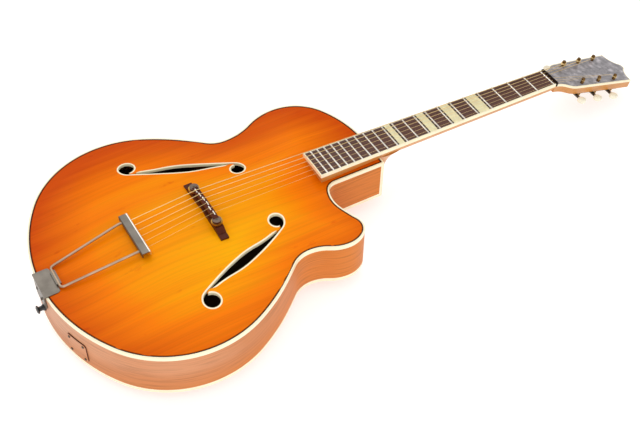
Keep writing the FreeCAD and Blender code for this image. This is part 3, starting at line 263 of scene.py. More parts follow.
def bent_mahogany(name, scales, constants):
    """Stained mahogany under thin lacquer: fine lines, pale at the tail and orange at the horn."""
    colours = bpy.context.scene.guitar_colours
    tail_x, horn_x, horn_share = -0.52, -0.1, 0.75
    back_z, side_z, back_shade_share = 0.025, 0.065, 0.3
    cloud_share, line_share = 0.35, 0.85
    made, tree, shader, place = start_finish(name, constants)
    line_place = add(tree, "ShaderNodeMapping", {}, {"Vector": place, "Scale": scales})
    lines = add(tree, "ShaderNodeTexNoise", {}, {
        "Vector": line_place.outputs[0], "Scale": 1.0, "Detail": 4.0, "Roughness": 0.6})
    # Cloudy patches of stain 125 mm wide
    clouds = add(tree, "ShaderNodeTexNoise", {}, {
        "Vector": place, "Scale": 1.0 / (125 * MM), "Detail": 1.0})
    along = add(tree, "ShaderNodeSeparateXYZ", {}, {"Vector": place})
    share = add(tree, "ShaderNodeMapRange", {}, {
        "Value": along.outputs["X"], "From Min": tail_x, "From Max": horn_x,
        "To Min": 0.0, "To Max": horn_share})
    # Painted shade: the tone moves darker towards the back of the guitar, where the lower rib lies in
    # shade
    depth = add(tree, "ShaderNodeMapRange", {}, {
        "Value": along.outputs["Z"], "From Min": back_z, "From Max": side_z,
        "To Min": back_shade_share, "To Max": 0.0})
    darker = add(tree, "ShaderNodeMath", {"operation": "ADD"}, {
        0: share.outputs[0], 1: depth.outputs[0]})
    stained = add(tree, "ShaderNodeMath", {"operation": "MULTIPLY_ADD"}, {
        0: clouds.outputs["Fac"], 1: cloud_share, 2: darker.outputs[0]})
    stain = add(tree, "ShaderNodeValToRGB", {"stops": (
        (0.15, tuple(colours.rib)), (0.45, tuple(colours.rib_middle)), (0.85, tuple(colours.rib_horn)))},
        {"Fac": stained.outputs[0]})
    tint = add(tree, "ShaderNodeValToRGB", {"stops": (
        (0.34, grey(0.7)), (0.5, grey(0.94)), (0.66, grey(1.0)))}, {"Fac": lines.outputs["Fac"]})
    grain = add(tree, "ShaderNodeMix", {"data_type": "RGBA", "blend_type": "MULTIPLY"}, {
        0: line_share, 6: stain.outputs[0], 7: tint.outputs[0]})
    relief = add(tree, "ShaderNodeBump", {}, {
        "Height": lines.outputs["Fac"], "Distance": 0.05 * MM, "Strength": 0.6})
    tree.links.new(grain.outputs[2], shader.inputs["Base Color"])
    tree.links.new(relief.outputs[0], shader.inputs["Normal"])
    return made


def satin_wood(name, colour, scales, constants, contrast):
    """Open grained wood: fine lines and short darker pores along the grain, in tones of one colour."""
    finer, pore_share = 3.1, 0.7
    made, tree, shader, place = start_finish(name, constants)
    line_place = add(tree, "ShaderNodeMapping", {}, {"Vector": place, "Scale": scales})
    lines = add(tree, "ShaderNodeTexNoise", {}, {
        "Vector": line_place.outputs[0], "Scale": 1.0, "Detail": 4.0, "Roughness": 0.6})
    # The pores are a finer pattern than the lines, moved aside so that the two don't fall together. Real
    # pores are a fifth of a millimetre wide and wouldn't show, so both are drawn coarser
    pore_place = add(tree, "ShaderNodeMapping", {}, {
        "Vector": place, "Scale": tuple(s * finer for s in scales), "Location": (7.3, 1.9, 4.1)})
    pores = add(tree, "ShaderNodeTexNoise", {}, {
        "Vector": pore_place.outputs[0], "Scale": 1.0, "Detail": 2.0, "Roughness": 0.5})
    tone = add(tree, "ShaderNodeValToRGB", {"stops": (
        (0.28, toned(colour, 1.0 - contrast)), (0.5, tuple(colour)),
        (0.72, toned(colour, 1.0 + contrast * 0.45)))}, {"Fac": lines.outputs["Fac"]})
    tint = add(tree, "ShaderNodeValToRGB", {"stops": (
        (0.30, grey(1.0 - contrast)), (0.46, grey(1.0)))}, {"Fac": pores.outputs["Fac"]})
    grain = add(tree, "ShaderNodeMix", {"data_type": "RGBA", "blend_type": "MULTIPLY"}, {
        0: pore_share, 6: tone.outputs[0], 7: tint.outputs[0]})
    relief = add(tree, "ShaderNodeBump", {}, {
        "Height": pores.outputs["Fac"], "Distance": 0.06 * MM, "Strength": 0.6})
    tree.links.new(grain.outputs[2], shader.inputs["Base Color"])
    tree.links.new(relief.outputs[0], shader.inputs["Normal"])
    return made


def mottled(name, colour, cell, spread, constants, glints):
    """Celluloid or plastic: cloudy patches a cell wide, with pearl flakes where glints is above 0."""
    flake = 1.67 * cell
    made, tree, shader, place = start_finish(name, constants)
    clouds = add(tree, "ShaderNodeTexNoise", {}, {
        "Vector": place, "Scale": 1.0 / cell, "Detail": 2.0, "Roughness": 0.5, "Distortion": 0.8})
    tone = add(tree, "ShaderNodeValToRGB", {"stops": (
        (0.3, toned(colour, 1.0 - spread)), (0.7, toned(colour, 1.0 + spread)))},
        {"Fac": clouds.outputs["Fac"]})
    base = tone.outputs[0]
    if glints > 0.0:
        flakes = add(tree, "ShaderNodeTexVoronoi", {"feature": "F1"}, {
            "Vector": place, "Scale": 1.0 / flake, "Randomness": 1.0})
        bright = add(tree, "ShaderNodeValToRGB", {"stops": (
            (0.05, grey(1.0)), (0.55, grey(1.0 - glints)))}, {"Fac": flakes.outputs["Distance"]})
        layer = add(tree, "ShaderNodeMix", {"data_type": "RGBA", "blend_type": "MULTIPLY"}, {
            0: 1.0, 6: base, 7: bright.outputs[0]})
        base = layer.outputs[2]
    tree.links.new(base, shader.inputs["Base Color"])
    return made


def worn_metal(name, colour, patch, rough, smudge):
    """Plated or turned metal: even colour with duller patches where hands and age have been."""
    made, tree, shader, place = start_finish(name, {"Metallic": 1.0})
    wear = add(tree, "ShaderNodeTexNoise", {}, {
        "Vector": place, "Scale": 1.0 / patch, "Detail": 4.0, "Roughness": 0.6})
    tone = add(tree, "ShaderNodeValToRGB", {"stops": (
        (0.3, toned(colour, 0.78)), (0.6, tuple(colour)))}, {"Fac": wear.outputs["Fac"]})
    dull = add(tree, "ShaderNodeMapRange", {}, {
        "Value": wear.outputs["Fac"], "To Min": rough + smudge, "To Max": rough})
    tree.links.new(tone.outputs[0], shader.inputs["Base Color"])
    tree.links.new(dull.outputs[0], shader.inputs["Roughness"])
    return made


def make_finishes():
    """Every material of the guitar by a short name."""
    colours = bpy.context.scene.guitar_colours
    # How a surface was finished, as constants of its shader
    thin = {"Roughness": 0.45, "Specular IOR Level": 0.12, "Coat Weight": 0.06, "Coat Roughness": 0.2}
    oiled = {"Roughness": 0.5, "IOR": 1.5, "Coat Weight": 0.1, "Coat Roughness": 0.4}
    gloss = {"Roughness": 0.3, "IOR": 1.5, "Coat Weight": 0.3, "Coat Roughness": 0.15}
    dull = {"Roughness": 0.5, "Specular IOR Level": 0.05}
    raw = {"Roughness": 0.85, "IOR": 1.5}
    return {
        "top": lacquered_spruce(),
        # Mahogany ribs: fine lines along the bend, so the pattern is long in plan and narrow in height
        "rib": bent_mahogany("lacquered_mahogany_ribs", pattern_scale(71.4, 71.4, 2.63), thin),
        # Mahogany back: straight lines from the tail to the neck
        "back": bent_mahogany("lacquered_mahogany_back", pattern_scale(250.0, 3.85, 250.0), thin),
        # Painted shadow: the faces of the side cover other than its outer face are dark as the shade in
        # the gap round it
        "gap": mottled("painted_shadow_gap", linear("#5A2814"), 6 * MM, 0.2, raw, 0.0),
        # Bare spruce inside the box: brown with age, dull, and painted darker as the shade inside the
        # closed box
        "inner": satin_wood("bare_spruce_inside_painted_shade", linear("#5C4128"), pattern_scale(250.0, 4.55, 4.55),
                            raw, 0.2),
        # Maple under gloss lacquer: an even honey colour with faint lines along the neck
        "neck": satin_wood("lacquered_maple_neck", colours.neck, pattern_scale(200.0, 4.17, 4.17),
                           gloss, 0.16),
        # Oiled rosewood: near black streaks in a purple-brown ground
        "board": satin_wood("oiled_rosewood_board", colours.rosewood, pattern_scale(167.0, 2.63, 167.0),
                            oiled, 0.45),
        # Rosewood of the bridge: redder, with its lines across the guitar
        "bridge": satin_wood("oiled_rosewood_bridge", colours.bridge, pattern_scale(2.63, 125.0, 2.63),
                             thin, 0.5),
        # Flat ends of the saddle, a greyer brown on their upward faces
        "disc": satin_wood("grey_rosewood_disc", linear("#6E5645"), pattern_scale(5.0, 83.3, 5.0),
                           oiled, 0.3),
        # Cream celluloid: warm, even and softly glossy
        "cream": mottled("cream_celluloid", colours.cream, 18 * MM, 0.05, gloss, 0.0),
        # Black celluloid, rubbed dull, so that a thin line of it stays dark at a low angle
        "black": mottled("black_celluloid", linear("#20120A"), 10 * MM, 0.2, dull, 0.0),
        # Dark strips beside the blocks: brown-black with a gloss
        "border": mottled("dark_fret_border", linear("#2A1A14"), 5 * MM, 0.2, gloss, 0.0),
        # Pearl celluloid: pale flakes about 8 mm across, and on the head 12 mm with more contrast
        "pearl": mottled("pearl_celluloid_cream", colours.pearl, 5 * MM, 0.1, gloss, 0.14),
        "head_plate": mottled("pearl_celluloid_grey", colours.head_plate, 7 * MM, 0.32, gloss, 0.5),
        # Old nickel plate with dull clouds on sheet, its grey painted darker as a painted reflection of
        # dark surroundings; warmer on the bent wire
        "nickel": worn_metal("aged_nickel_plate_painted_reflection", colours.nickel, 20 * MM, 0.3, 0.2),
        "wire": worn_metal("aged_nickel_wire", linear("#BAA28A"), 30 * MM, 0.3, 0.2),
        # Nickel silver: nearly white, rubbed bright by the strings
        "steel": worn_metal("fret_nickel_silver", linear("#FBF6EC"), 15 * MM, 0.3, 0.1),
        # Turned brass: yellow with browner patches
        "brass": worn_metal("turned_brass", linear("#B8914A"), 8 * MM, 0.28, 0.2),
        # Old string posts: brass gone brown, with small duller patches
        "post": worn_metal("browned_brass_post", linear("#7C5C34"), 3 * MM, 0.28, 0.25),
        # The front edge of the tailpiece bar: a painted highlight along it
        "bright": worn_metal("painted_highlight_edge", linear("#F4EEE4"), 10 * MM, 0.3, 0.1),
        # Steel of shafts and screws: dark and half dull
        "dark_steel": worn_metal("dark_tuner_steel", linear("#5E554A"), 8 * MM, 0.35, 0.2),
        # Bronze wrap of the strings: pale gold that catches the light
        "bronze": worn_metal("string_bronze", colours.bronze, 40 * MM, 0.28, 0.12),
        # Moulded plastics: ivory buttons with a faint cloud, and a deep black knob
        "button": mottled("ivory_plastic_button", linear("#F3EAD2"), 8 * MM, 0.06, gloss, 0.0),
        "black_plastic": mottled("moulded_black_plastic", linear("#161413"), 4 * MM, 0.25, gloss, 0.0),
    }


finishes = {}


def finish(name):
    """The material of that name, made once for the scene."""
    if not finishes:
        finishes.update(make_finishes())
    return finishes[name]


def merged_copy(node):
    """A CAD node's mesh with its loose triangles joined, to work on."""
    bm = bmesh.new()
    bm.from_mesh(frame["nodes"][node].data)
    bmesh.ops.remove_doubles(bm, verts=bm.verts, dist=MERGE)
    bm.normal_update()
    return bm


def shade_by_angle(bm, corner_degrees):
    """Smooth faces, with every edge sharper than the corner kept crisp."""
    limit = math.radians(corner_degrees)
    for face in bm.faces:
        face.smooth = True
    for edge in bm.edges:
        edge.smooth = len(edge.link_faces) == 2 and edge.calc_face_angle(math.pi) < limit


def next_faces(face):
    """The faces that share an edge with a face."""
    return (near for edge in face.edges for near in edge.link_faces)


def next_edges(edge):
    """The edges that share a corner with an edge."""
    return (near for vert in edge.verts for near in vert.link_edges)


def joined_groups(items, neighbours):
    """Splits faces or edges into the groups that hang together, in the order in which they come."""
    left = set(items)
    groups = []
    for start in items:
        if start not in left:
            continue
        left.remove(start)
        group = [start]
        for item in group:
            for near in neighbours(item):
                if near in left:
                    left.remove(near)
                    group.append(near)
        groups.append(group)
    return groups


def placed_piece(name, bm, materials, node):
    """A finished piece from a working mesh. It stands for the node and moves with the node's body."""
    mesh = bpy.data.meshes.new(name)
    bm.to_mesh(mesh)
    bm.free()
    for material in materials:
        mesh.materials.append(finish(material))
    piece = bpy.data.objects.new(name, mesh)
    bpy.context.scene.collection.objects.link(piece)
    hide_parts(node)
    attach(piece, frame["nodes"][node]["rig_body"])
    return piece


def honed(node, name, materials, corner=32.0, choose=None, cut_x=None):
    """A smooth shaded copy of a node.

    Where choose is given it picks a material from a solid's box and a face. Faces are first cut at cut_x.
    """
    bm = merged_copy(node)
    if cut_x is not None:
        bmesh.ops.bisect_plane(bm, geom=bm.verts[:] + bm.edges[:] + bm.faces[:], dist=MERGE,
                               plane_co=(cut_x, 0.0, 0.0), plane_no=(1.0, 0.0, 0.0))
    shade_by_angle(bm, corner)
    if choose:
        for group in joined_groups(bm.faces, next_faces):
            points = [v.co for face in group for v in face.verts]
            low = Vector([min(p[i] for p in points) for i in range(3)])
            high = Vector([max(p[i] for p in points) for i in range(3)])
            for face in group:
                face.material_index = choose(low, high, face)
    return placed_piece(name, bm, materials, node)


def end_gap(low, high, face):
    """How far the middle of a face is from the nearer end of its solid along x."""
    place = face.calc_center_median().x
    return min(place - low.x, high.x - place)


def largest_patch(bm, sign):
    """The largest joined set of faces that look up, or down where the sign is -1."""
    least_rise = 0.55
    facing = [f for f in bm.faces if f.normal.z * sign > least_rise]
    return max(joined_groups(facing, next_faces), key=lambda group: sum(f.calc_area() for f in group))


def spread_along(edges, step):
    """Points along some edges, less than two steps apart."""
    points = []
    for edge in edges:
        a, b = (v.co.copy() for v in edge.verts)
        count = max(1, int((b - a).length / step))
        points += [a.lerp(b, i / count) for i in range(count)]
    return points


def plan_tree(points):
    """A search tree for the nearest of some points as seen from above."""
    tree = KDTree(len(points))
    for i, p in enumerate(points):
        tree.insert((p.x, p.y, 0.0), i)
    tree.balance()
    return tree


def dropper(patch, sign):
    """A function that gives the point of a patch at a place in plan, or None where the patch has none."""
    verts = list(dict.fromkeys(v for f in patch for v in f.verts))
    number = {v: i for i, v in enumerate(verts)}
    tree = BVHTree.FromPolygons([v.co for v in verts], [[number[v] for v in f.verts] for f in patch])
    return lambda x, y: tree.ray_cast(Vector((x, y, sign)), Vector((0.0, 0.0, -sign)))[0]


def plan_grid(points, spacing):
    """Places of a triangular grid in plan over the box of some points."""
    low_x, low_y = min(p.x for p in points), min(p.y for p in points)
    high_x, high_y = max(p.x for p in points), max(p.y for p in points)
    places = []
    row, y = 0, low_y
    while y < high_y:
        x = low_x + (0.5 * spacing if row % 2 else 0.0)
        while x < high_x:
            places.append((x, y))
            x += spacing
        y += spacing * math.sqrt(0.75)
        row += 1
    return places


def ease_heights(verts):
    """Evens out the heights of some points of a mesh a few times."""
    rounds, pull = 8, 0.6
    for _ in range(rounds):
        levels = {v: sum(e.other_vert(v).co.z for e in v.link_edges) / len(v.link_edges) for v in verts}
        for v, level in levels.items():
            v.co.z += pull * (level - v.co.z)


def mark_edge_gap(bm, rim):
    """Keeps how far each point of a mesh is in plan from the outer edge, for the finish."""
    loops = joined_groups(rim, next_edges)
    outer = max(loops, key=lambda loop: sum(e.calc_length() for e in loop))
    step = 2 * MM
    outline = plan_tree(spread_along(outer, step))
    gaps = bm.verts.layers.float.new("edge_gap")
    for v in bm.verts:
        v[gaps] = outline.find((v.co.x, v.co.y, 0.0))[2]


def new_skin(bm, patch, sign, spacing):
    """Replaces a patch of a mesh by an even skin inside the same rim. Gives its rim and its faces."""
    rim_step, rim_clear, tolerance = 0.3 * spacing, 0.45 * spacing, 1e-7
    inside = set(patch)
    rim = [e for f in patch for e in f.edges if sum(g in inside for g in e.link_faces) == 1]
    rim_verts = list(dict.fromkeys(v for e in rim for v in e.verts))
    order = {v: i for i, v in enumerate(rim_verts)}
    drop = dropper(patch, sign)
    near_rim = plan_tree(spread_along(rim, rim_step))
    points = [v.co.copy() for v in rim_verts]
    for x, y in plan_grid(points, spacing):
        spot = drop(x, y)
        if spot is not None and near_rim.find((x, y, 0.0))[2] > rim_clear:
            points.append(Vector((x, y, spot.z)))
    pairs = [tuple(order[v] for v in e.verts) for e in rim]
    flat, _, triangles, origin, _, _ = delaunay_2d_cdt([p.xy for p in points], pairs, [], 0, tolerance)
    if len(flat) != len(points):
        raise RuntimeError("the outline of a carved plate crosses itself")
    patch_verts = list(dict.fromkeys(v for f in patch for v in f.verts))
    bmesh.ops.delete(bm, geom=patch, context="FACES_ONLY")
    loose = [v for v in patch_verts if not v.link_faces and v not in order]
    bmesh.ops.delete(bm, geom=loose, context="VERTS")
    fixed = len(rim_verts)
    skin = [rim_verts[ids[0]] if ids[0] < fixed else bm.verts.new(points[ids[0]]) for ids in origin]
    faces = []
    for triangle in triangles:
        middle = sum((flat[i] for i in triangle), Vector((0.0, 0.0))) / 3
        if drop(middle.x, middle.y) is not None:
            corners = [skin[i] for i in triangle]
            faces.append(bm.faces.new(corners if sign > 0 else corners[::-1]))
    ease_heights([v for v in skin if v not in order])
    bmesh.ops.delete(bm, geom=[e for e in bm.edges if not e.link_faces], context="EDGES")
    bm.normal_update()
    return rim, faces


def carved_plate(node, name, sign, materials):
    """The node's plate with its carved face made again as an even skin, so that gloss runs smoothly."""
    corner, turned_in = 35.0, -0.3
    bm = merged_copy(node)
    spacing = bpy.context.scene.guitar_sizes.skin_spacing
    rim, faces = new_skin(bm, largest_patch(bm, sign), sign, spacing)
    mark_edge_gap(bm, rim)
    shade_by_angle(bm, corner)
    outside = set(faces)
    for face in bm.faces:
        face.material_index = 0 if face in outside or face.normal.z * sign > turned_in else 1
    return placed_piece(name, bm, materials, node)


class GUITAR_OT_plates(bpy.types.Operator):
    """Makes the carved top and back with their lacquer"""
    bl_idname = "guitar.plates"
    bl_label = "Carved plates"

    def execute(self, context):
        carved_plate("top_plate", "carved_top", 1, ("top", "inner"))
        carved_plate("back_plate", "carved_back", -1, ("back", "inner"))
        return {"FINISHED"}


class GUITAR_OT_ribs(bpy.types.Operator):
    """Makes the ribs, bindings, sound hole linings and what is inside the box"""
    bl_idname = "guitar.ribs"
    bl_label = "Ribs and bindings"

    def execute(self, context):
        # The side cover looks to the tail and the treble side. Its outer face is stained as the rib is;
        # its other faces are painted dark as the shadow in the gap round it
        outward = Vector((-0.944, -0.331, 0.0))
        least_share = 0.8
        honed("bass_rib", "bent_rib_bass", ("rib",))
        honed("treble_rib", "bent_rib_treble", ("rib",))
        honed("top_binding", "binding_top", ("cream",))
        honed("back_binding", "binding_back", ("cream",))
        honed("top_purfling", "purfling_line", ("black",))
        honed("f_hole_bindings", "sound_hole_lining", ("cream",))
        honed("cutaway_strip", "cutaway_end_strip", ("cream",))
        honed("cover_plate", "side_cover", ("rib", "gap"),
              choose=lambda low, high, face: 0 if face.normal.dot(outward) > least_share else 1)
        for node in ("neck_block", "tail_block", "linings", "tone_bars"):
            dress(node, "inner")
        return {"FINISHED"}


def dress(node, material):
    """Gives a CAD node that keeps its own mesh its finish."""
    mesh = frame["nodes"][node].data
    mesh.materials.clear()
    mesh.materials.append(finish(material))


class GUITAR_OT_neck(bpy.types.Operator):
    """Makes the neck, head, fingerboard, frets and blocks"""
    bl_idname = "guitar.neck"
    bl_label = "Neck and fingerboard"

    def execute(self, context):
        border_width = 2.4 * MM
        honed("neck", "shaped_neck", ("neck",))
        honed("head_veneer", "head_plate", ("head_plate",))
        honed("head_binding", "head_edge_binding", ("cream",))
        honed("fingerboard", "crowned_fingerboard", ("board",))
        honed("fingerboard_binding", "fingerboard_edging", ("cream",))
        honed("frets", "fret_wires", ("steel",))
        honed("fret_blocks", "fret_space_blocks", ("pearl", "border"),
              choose=lambda low, high, face: 1 if end_gap(low, high, face) < border_width else 0)
        honed("nut", "string_nut", ("black",))
        return {"FINISHED"}


class GUITAR_OT_machines(bpy.types.Operator):
    """Makes the six tuning machines and their strips"""
    bl_idname = "guitar.machines"
    bl_label = "Tuning machines"

    def execute(self, context):
        # A gear is wider than its screw, and a post is taller than the winding on it
        screw_width = 7.05 * MM
        winding_height = 15 * MM
        for number in range(1, 7):
            name = "tuner_%d" % number
            honed(name + "_worm", "worm_shaft_%d" % number, ("dark_steel",))
            honed(name + "_button", "tuning_button_%d" % number, ("button",))
            honed(name + "_gear", "worm_wheel_%d" % number, ("brass", "dark_steel"),
                  choose=lambda low, high, face: 1 if high.y - low.y < screw_width else 0)
            honed(name + "_post", "string_post_%d" % number, ("post", "bronze"),
                  choose=lambda low, high, face: 0 if high.z - low.z > winding_height else 1)
        honed("tuner_strips", "machine_strips", ("nickel",))
        return {"FINISHED"}


class GUITAR_OT_bridge(bpy.types.Operator):
    """Makes the bridge with its thumbwheels and string inserts"""
    bl_idname = "guitar.bridge"
    bl_label = "Bridge"

    def execute(self, context):
        disc_reach, least_rise = 7.0 * MM, 0.9
        studs = [ring_middle(points) for points in solids_by_y("bridge_posts")]

        def on_disc(low, high, face):
            reach = min(max((v.co - stud).xy.length for v in face.verts) for stud in studs)
            return 1 if face.normal.z > least_rise and reach < disc_reach else 0

        honed("bridge_base", "bridge_foot", ("bridge",))
        honed("bridge_saddle", "bridge_top", ("bridge", "disc"), choose=on_disc)
        honed("saddle_wires", "string_inserts", ("steel",))
        honed("bridge_posts", "bridge_studs", ("dark_steel",))
        honed("thumbwheel_bass", "height_wheel_bass", ("brass",))
        honed("thumbwheel_treble", "height_wheel_treble", ("brass",))
        return {"FINISHED"}


class GUITAR_OT_tailpiece(bpy.types.Operator):
    """Makes the trapeze tailpiece, its bracket, the strap button and all wood screws"""
    bl_idname = "guitar.tailpiece"
    bl_label = "Tailpiece"

    def execute(self, context):
        # A strip along the bar's front edge is painted as a highlight
        highlight_width = 2.6 * MM
        bright_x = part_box("tailpiece_bar")[1].x - highlight_width
        honed("tailpiece_bar", "string_bar", ("nickel", "bright"), cut_x=bright_x,
              choose=lambda low, high, face: 1 if face.calc_center_median().x > bright_x else 0)
        honed("trapeze_wire", "trapeze_frame", ("wire",))
        honed("tail_bracket", "tail_hook", ("nickel",))
        honed("strap_button", "strap_knob", ("black_plastic",))
        honed("wood_screws", "slotted_screws", ("dark_steel",))
        return {"FINISHED"}


def string_tree():
    """Geometry Nodes that sweep a round string along each line, with turns of wrap on the thick ones."""
    tree = bpy.data.node_groups.new("string_sweep", "GeometryNodeTree")
    tree.interface.new_socket("Geometry", in_out="INPUT", socket_type="NodeSocketGeometry")
    for name in ("Wrap spacing", "Wrap depth", "Plain radius"):
        tree.interface.new_socket(name, in_out="INPUT", socket_type="NodeSocketFloat")
    tree.interface.new_socket("Metal", in_out="INPUT", socket_type="NodeSocketMaterial")
    tree.interface.new_socket("Geometry", in_out="OUTPUT", socket_type="NodeSocketGeometry")
    given = add(tree, "NodeGroupInput", {}, {}).outputs
    gauge = add(tree, "GeometryNodeInputNamedAttribute", {"data_type": "FLOAT"}, {"Name": "gauge"})
    line = add(tree, "GeometryNodeMeshToCurve", {}, {"Mesh": given["Geometry"]})
    sized = add(tree, "GeometryNodeSetCurveRadius", {}, {
        "Curve": line.outputs["Curve"], "Radius": gauge.outputs["Attribute"]})
    half = add(tree, "ShaderNodeMath", {"operation": "MULTIPLY"}, {0: given["Wrap spacing"], 1: 0.5})
    even = add(tree, "GeometryNodeResampleCurve", {"mode": "LENGTH"}, {
        "Curve": sized.outputs["Curve"], "Length": half.outputs[0]})
    index = add(tree, "GeometryNodeInputIndex", {}, {})
    radius = add(tree, "GeometryNodeInputRadius", {}, {})
    odd = add(tree, "ShaderNodeMath", {"operation": "MODULO"}, {0: index.outputs[0], 1: 2.0})
    wound = add(tree, "ShaderNodeMath", {"operation": "GREATER_THAN"}, {
        0: radius.outputs[0], 1: given["Plain radius"]})
    groove = add(tree, "ShaderNodeMath", {"operation": "MULTIPLY"}, {
        0: odd.outputs[0], 1: wound.outputs[0]})
    depth = add(tree, "ShaderNodeMath", {"operation": "MULTIPLY"}, {
        0: groove.outputs[0], 1: given["Wrap depth"]})
    left = add(tree, "ShaderNodeMath", {"operation": "SUBTRACT"}, {0: 1.0, 1: depth.outputs[0]})
    wrapped = add(tree, "ShaderNodeMath", {"operation": "MULTIPLY"}, {
        0: radius.outputs[0], 1: left.outputs[0]})
    section = add(tree, "GeometryNodeCurvePrimitiveCircle", {}, {"Resolution": 8, "Radius": 1.0})
    swept = add(tree, "GeometryNodeCurveToMesh", {}, {
        "Curve": even.outputs["Curve"], "Profile Curve": section.outputs["Curve"],
        "Scale": wrapped.outputs[0], "Fill Caps": True})
    soft = add(tree, "GeometryNodeSetShadeSmooth", {}, {"Geometry": swept.outputs["Mesh"]})
    real = add(tree, "GeometryNodeRealizeInstances", {}, {"Geometry": soft.outputs["Geometry"]})
    metal = add(tree, "GeometryNodeSetMaterial", {}, {
        "Geometry": real.outputs["Geometry"], "Material": given["Metal"]})
    add(tree, "NodeGroupOutput", {}, {"Geometry": metal.outputs["Geometry"]})
    return tree


def swept_strings(name, routes, tree):
    """One plain mesh of strings. A route is its radius and its points."""
    sizes = bpy.context.scene.guitar_sizes
    points, pairs, gauges = [], [], []
    for radius, route in routes:
        pairs += [(len(points) + i, len(points) + i + 1) for i in range(len(route) - 1)]
        points += route
        gauges += [radius] * len(route)
    mesh = bpy.data.meshes.new(name + "_lines")
    mesh.from_pydata(points, pairs, [])
    mesh.attributes.new("gauge", "FLOAT", "POINT").data.foreach_set("value", gauges)
    lines = bpy.data.objects.new(name + "_lines", mesh)
    bpy.context.scene.collection.objects.link(lines)
    sweep = lines.modifiers.new("sweep", "NODES")
    sweep.node_group = tree
    values = {"Wrap spacing": sizes.wrap_spacing, "Wrap depth": sizes.wrap_depth,
              "Plain radius": sizes.plain_radius, "Metal": finish("bronze")}
    for item in tree.interface.items_tree:
        if item.in_out == "INPUT" and item.name in values:
            sweep[item.identifier] = values[item.name]
    evaluated = lines.evaluated_get(bpy.context.evaluated_depsgraph_get())
    plain = bpy.data.meshes.new_from_object(evaluated)
    lines.modifiers.remove(sweep)
    bpy.data.objects.remove(lines)
    if not plain.polygons:
        raise RuntimeError("no strings came out of the sweep for %s" % name)
    plain.name = name
    piece = bpy.data.objects.new(name, plain)
    bpy.context.scene.collection.objects.link(piece)
    return piece


def ring_middle(points):
    """Middle of the box round some points."""
    return Vector([(min(p[i] for p in points) + max(p[i] for p in points)) / 2 for i in range(3)])


def solids_by_y(node):
    """Points of each solid of a node, from the bass side to the treble side."""
    bm = merged_copy(node)
    groups = [[v.co.copy() for v in {v for f in faces for v in f.verts}]
              for faces in joined_groups(bm.faces, next_faces)]
    bm.free()
    return sorted(groups, key=lambda points: -sum(p.y for p in points) / len(points))


def front_routes(zero_x):
    """Radius and points of each string from the saddle over the zero fret to its post, bass side first."""
    start_reach, end_reach, knee_reach = 0.1 * MM, 0.4 * MM, 1.2 * MM
    routes = []
    for points in solids_by_y("strings_front"):
        first = min(p.x for p in points)
        last = max(p.x for p in points)
        ring = [p for p in points if p.x < first + start_reach]
        start = ring_middle(ring)
        knee = ring_middle([p for p in points if abs(p.x - zero_x) < knee_reach])
        end = ring_middle([p for p in points if p.x > last - end_reach])
        radius = max((p - start).length for p in ring)
        routes.append((radius, [start, knee, end]))
    if len(routes) != 6:
        raise RuntimeError("six strings were expected and %d came" % len(routes))
    return routes


class GUITAR_OT_strings(bpy.types.Operator):
    """Makes the six strings from the posts over the saddle to the tailpiece"""
    bl_idname = "guitar.strings"
    bl_label = "Strings"

    def execute(self, context):
        half_fret = 1.2 * MM
        hidden_end = 3 * MM
        tree = string_tree()
        zero_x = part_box("frets")[1].x - half_fret
        front = front_routes(zero_x)
        speaking = swept_strings("strings_over_board", front, tree)
        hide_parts("strings_front")
        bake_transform(speaking)
        bar_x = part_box("tailpiece_bar")[1].x
        behind_saddle, behind_bar = [], []
        for (radius, route), points in zip(front, solids_by_y("strings_tail")):
            tail = ring_middle([p for p in points if abs(p.x - bar_x) < radius])
            inside = Vector((bar_x - hidden_end, tail.y, tail.z))
            middle = route[0].lerp(tail, 0.5)
            behind_saddle.append((radius, [route[0], middle]))
            behind_bar.append((radius, [middle, tail, inside]))
        near = swept_strings("strings_behind_saddle", behind_saddle, tree)
        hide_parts("strings_tail")
        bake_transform(near)
        far = swept_strings("strings_at_tailpiece", behind_bar, tree)
        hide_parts("strings_tail")
        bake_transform(far)
        return {"FINISHED"}


def backlit_acrylic():
    """White acrylic lit from below: an even pale glow with hardly any cloud, 333 mm wide."""
    colour = bpy.context.scene.guitar_colours.floor
    made, tree, shader, place = start_finish("backlit_white_acrylic", {
        "Roughness": 0.9, "Specular IOR Level": 0.1, "Emission Color": grey(1.0),
        "Emission Strength": FLOOR_GLOW})
    clouds = add(tree, "ShaderNodeTexNoise", {}, {"Vector": place, "Scale": 1.0 / (333 * MM)})
    tone = add(tree, "ShaderNodeValToRGB", {"stops": (
        (0.3, toned(colour, 0.985)), (0.7, tuple(colour)))}, {"Fac": clouds.outputs["Fac"]})
    tree.links.new(tone.outputs[0], shader.inputs["Base Color"])
    return made


def make_floor(scene):
    """A flat square floor that the guitar lies on."""
    half = FLOOR_HALF
    mesh = bpy.data.meshes.new("studio_floor")
    mesh.from_pydata([(-half, -half, 0), (half, -half, 0), (half, half, 0), (-half, half, 0)], [],
                     [(0, 1, 2, 3)])
    mesh.materials.append(backlit_acrylic())
    floor = bpy.data.objects.new("studio_floor", mesh)
    scene.collection.objects.link(floor)


def make_lights(scene):
    """A white room with three softboxes that look at the guitar."""
    world = bpy.data.worlds.new("white_studio")
    world.use_nodes = True
    background = world.node_tree.nodes["Background"].inputs
    background["Color"].default_value = grey(1.0)
    background["Strength"].default_value = WORLD_STRENGTH
    scene.world = world
    for name, spot, size, power in SOFTBOXES:
        data = bpy.data.lights.new(name, "AREA")
        data.shape = "SQUARE"
        data.size = size
        data.energy = power
        lamp = bpy.data.objects.new(name, data)
        lamp.location = spot
        lamp.rotation_mode = "QUATERNION"
        lamp.rotation_quaternion = (Vector(LIT_SPOT) - Vector(spot)).to_track_quat("-Z", "Y")
        scene.collection.objects.link(lamp)


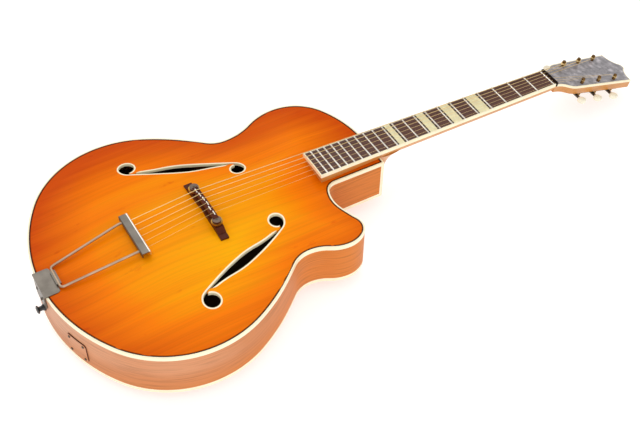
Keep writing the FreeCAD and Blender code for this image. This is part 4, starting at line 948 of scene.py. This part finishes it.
def make_camera(scene):
    """The camera that took the photograph."""
    azimuth, elevation, roll = (math.radians(a) for a in (PHOTO_AZIMUTH, PHOTO_ELEVATION, PHOTO_ROLL))
    back = Vector((math.sin(azimuth) * math.cos(elevation), -math.cos(azimuth) * math.cos(elevation),
                   math.sin(elevation)))
    right = Vector((math.cos(azimuth), math.sin(azimuth), 0.0))
    up = back.cross(right)
    across = right * math.cos(roll) + up * math.sin(roll)
    upward = up * math.cos(roll) - right * math.sin(roll)
    data = bpy.data.cameras.new("photo_camera")
    data.sensor_width = SENSOR_MM
    data.lens = SENSOR_MM * PHOTO_FOCAL_PIXELS / IMAGE_WIDTH
    data.clip_start, data.clip_end = 0.05, 50.0
    camera = bpy.data.objects.new("photo_camera", data)
    turn = Matrix((across, upward, back)).transposed().to_4x4()
    camera.matrix_world = Matrix.Translation(Vector(PHOTO_TARGET) + back * PHOTO_DISTANCE) @ turn
    scene.collection.objects.link(camera)
    scene.camera = camera


class GUITAR_OT_stage(bpy.types.Operator):
    """Makes the floor, the studio lights and the camera"""
    bl_idname = "guitar.stage"
    bl_label = "Stage"

    def execute(self, context):
        make_floor(context.scene)
        make_lights(context.scene)
        make_camera(context.scene)
        context.scene.view_settings.view_transform = "Standard"
        return {"FINISHED"}


class GUITAR_PT_sidebar(bpy.types.Panel):
    """Lists the steps that dress the guitar, and its colours and sizes"""
    bl_idname = "GUITAR_PT_sidebar"
    bl_label = "Archtop guitar"
    bl_space_type = "VIEW_3D"
    bl_region_type = "UI"
    bl_category = "Guitar"

    def draw(self, context):
        for group in (context.scene.guitar_colours, context.scene.guitar_sizes):
            for name in group.__annotations__:
                self.layout.prop(group, name)
        for operator in OPERATORS:
            self.layout.operator(operator.bl_idname)


OPERATORS = (GUITAR_OT_plates, GUITAR_OT_ribs, GUITAR_OT_neck, GUITAR_OT_machines, GUITAR_OT_bridge,
             GUITAR_OT_tailpiece, GUITAR_OT_strings, GUITAR_OT_stage)
CLASSES = (GuitarColours, GuitarSizes) + OPERATORS + (GUITAR_PT_sidebar,)


def register():
    for kind in CLASSES:
        bpy.utils.register_class(kind)
    bpy.types.Scene.guitar_colours = bpy.props.PointerProperty(type=GuitarColours)
    bpy.types.Scene.guitar_sizes = bpy.props.PointerProperty(type=GuitarSizes)


def unregister():
    del bpy.types.Scene.guitar_sizes
    del bpy.types.Scene.guitar_colours
    for kind in reversed(CLASSES):
        bpy.utils.unregister_class(kind)


def main():
    register()
    bpy.ops.guitar.plates()
    bpy.ops.guitar.ribs()
    bpy.ops.guitar.neck()
    bpy.ops.guitar.machines()
    bpy.ops.guitar.bridge()
    bpy.ops.guitar.tailpiece()
    bpy.ops.guitar.strings()
    bpy.ops.guitar.stage()


if __name__ == "__main__":
    main()
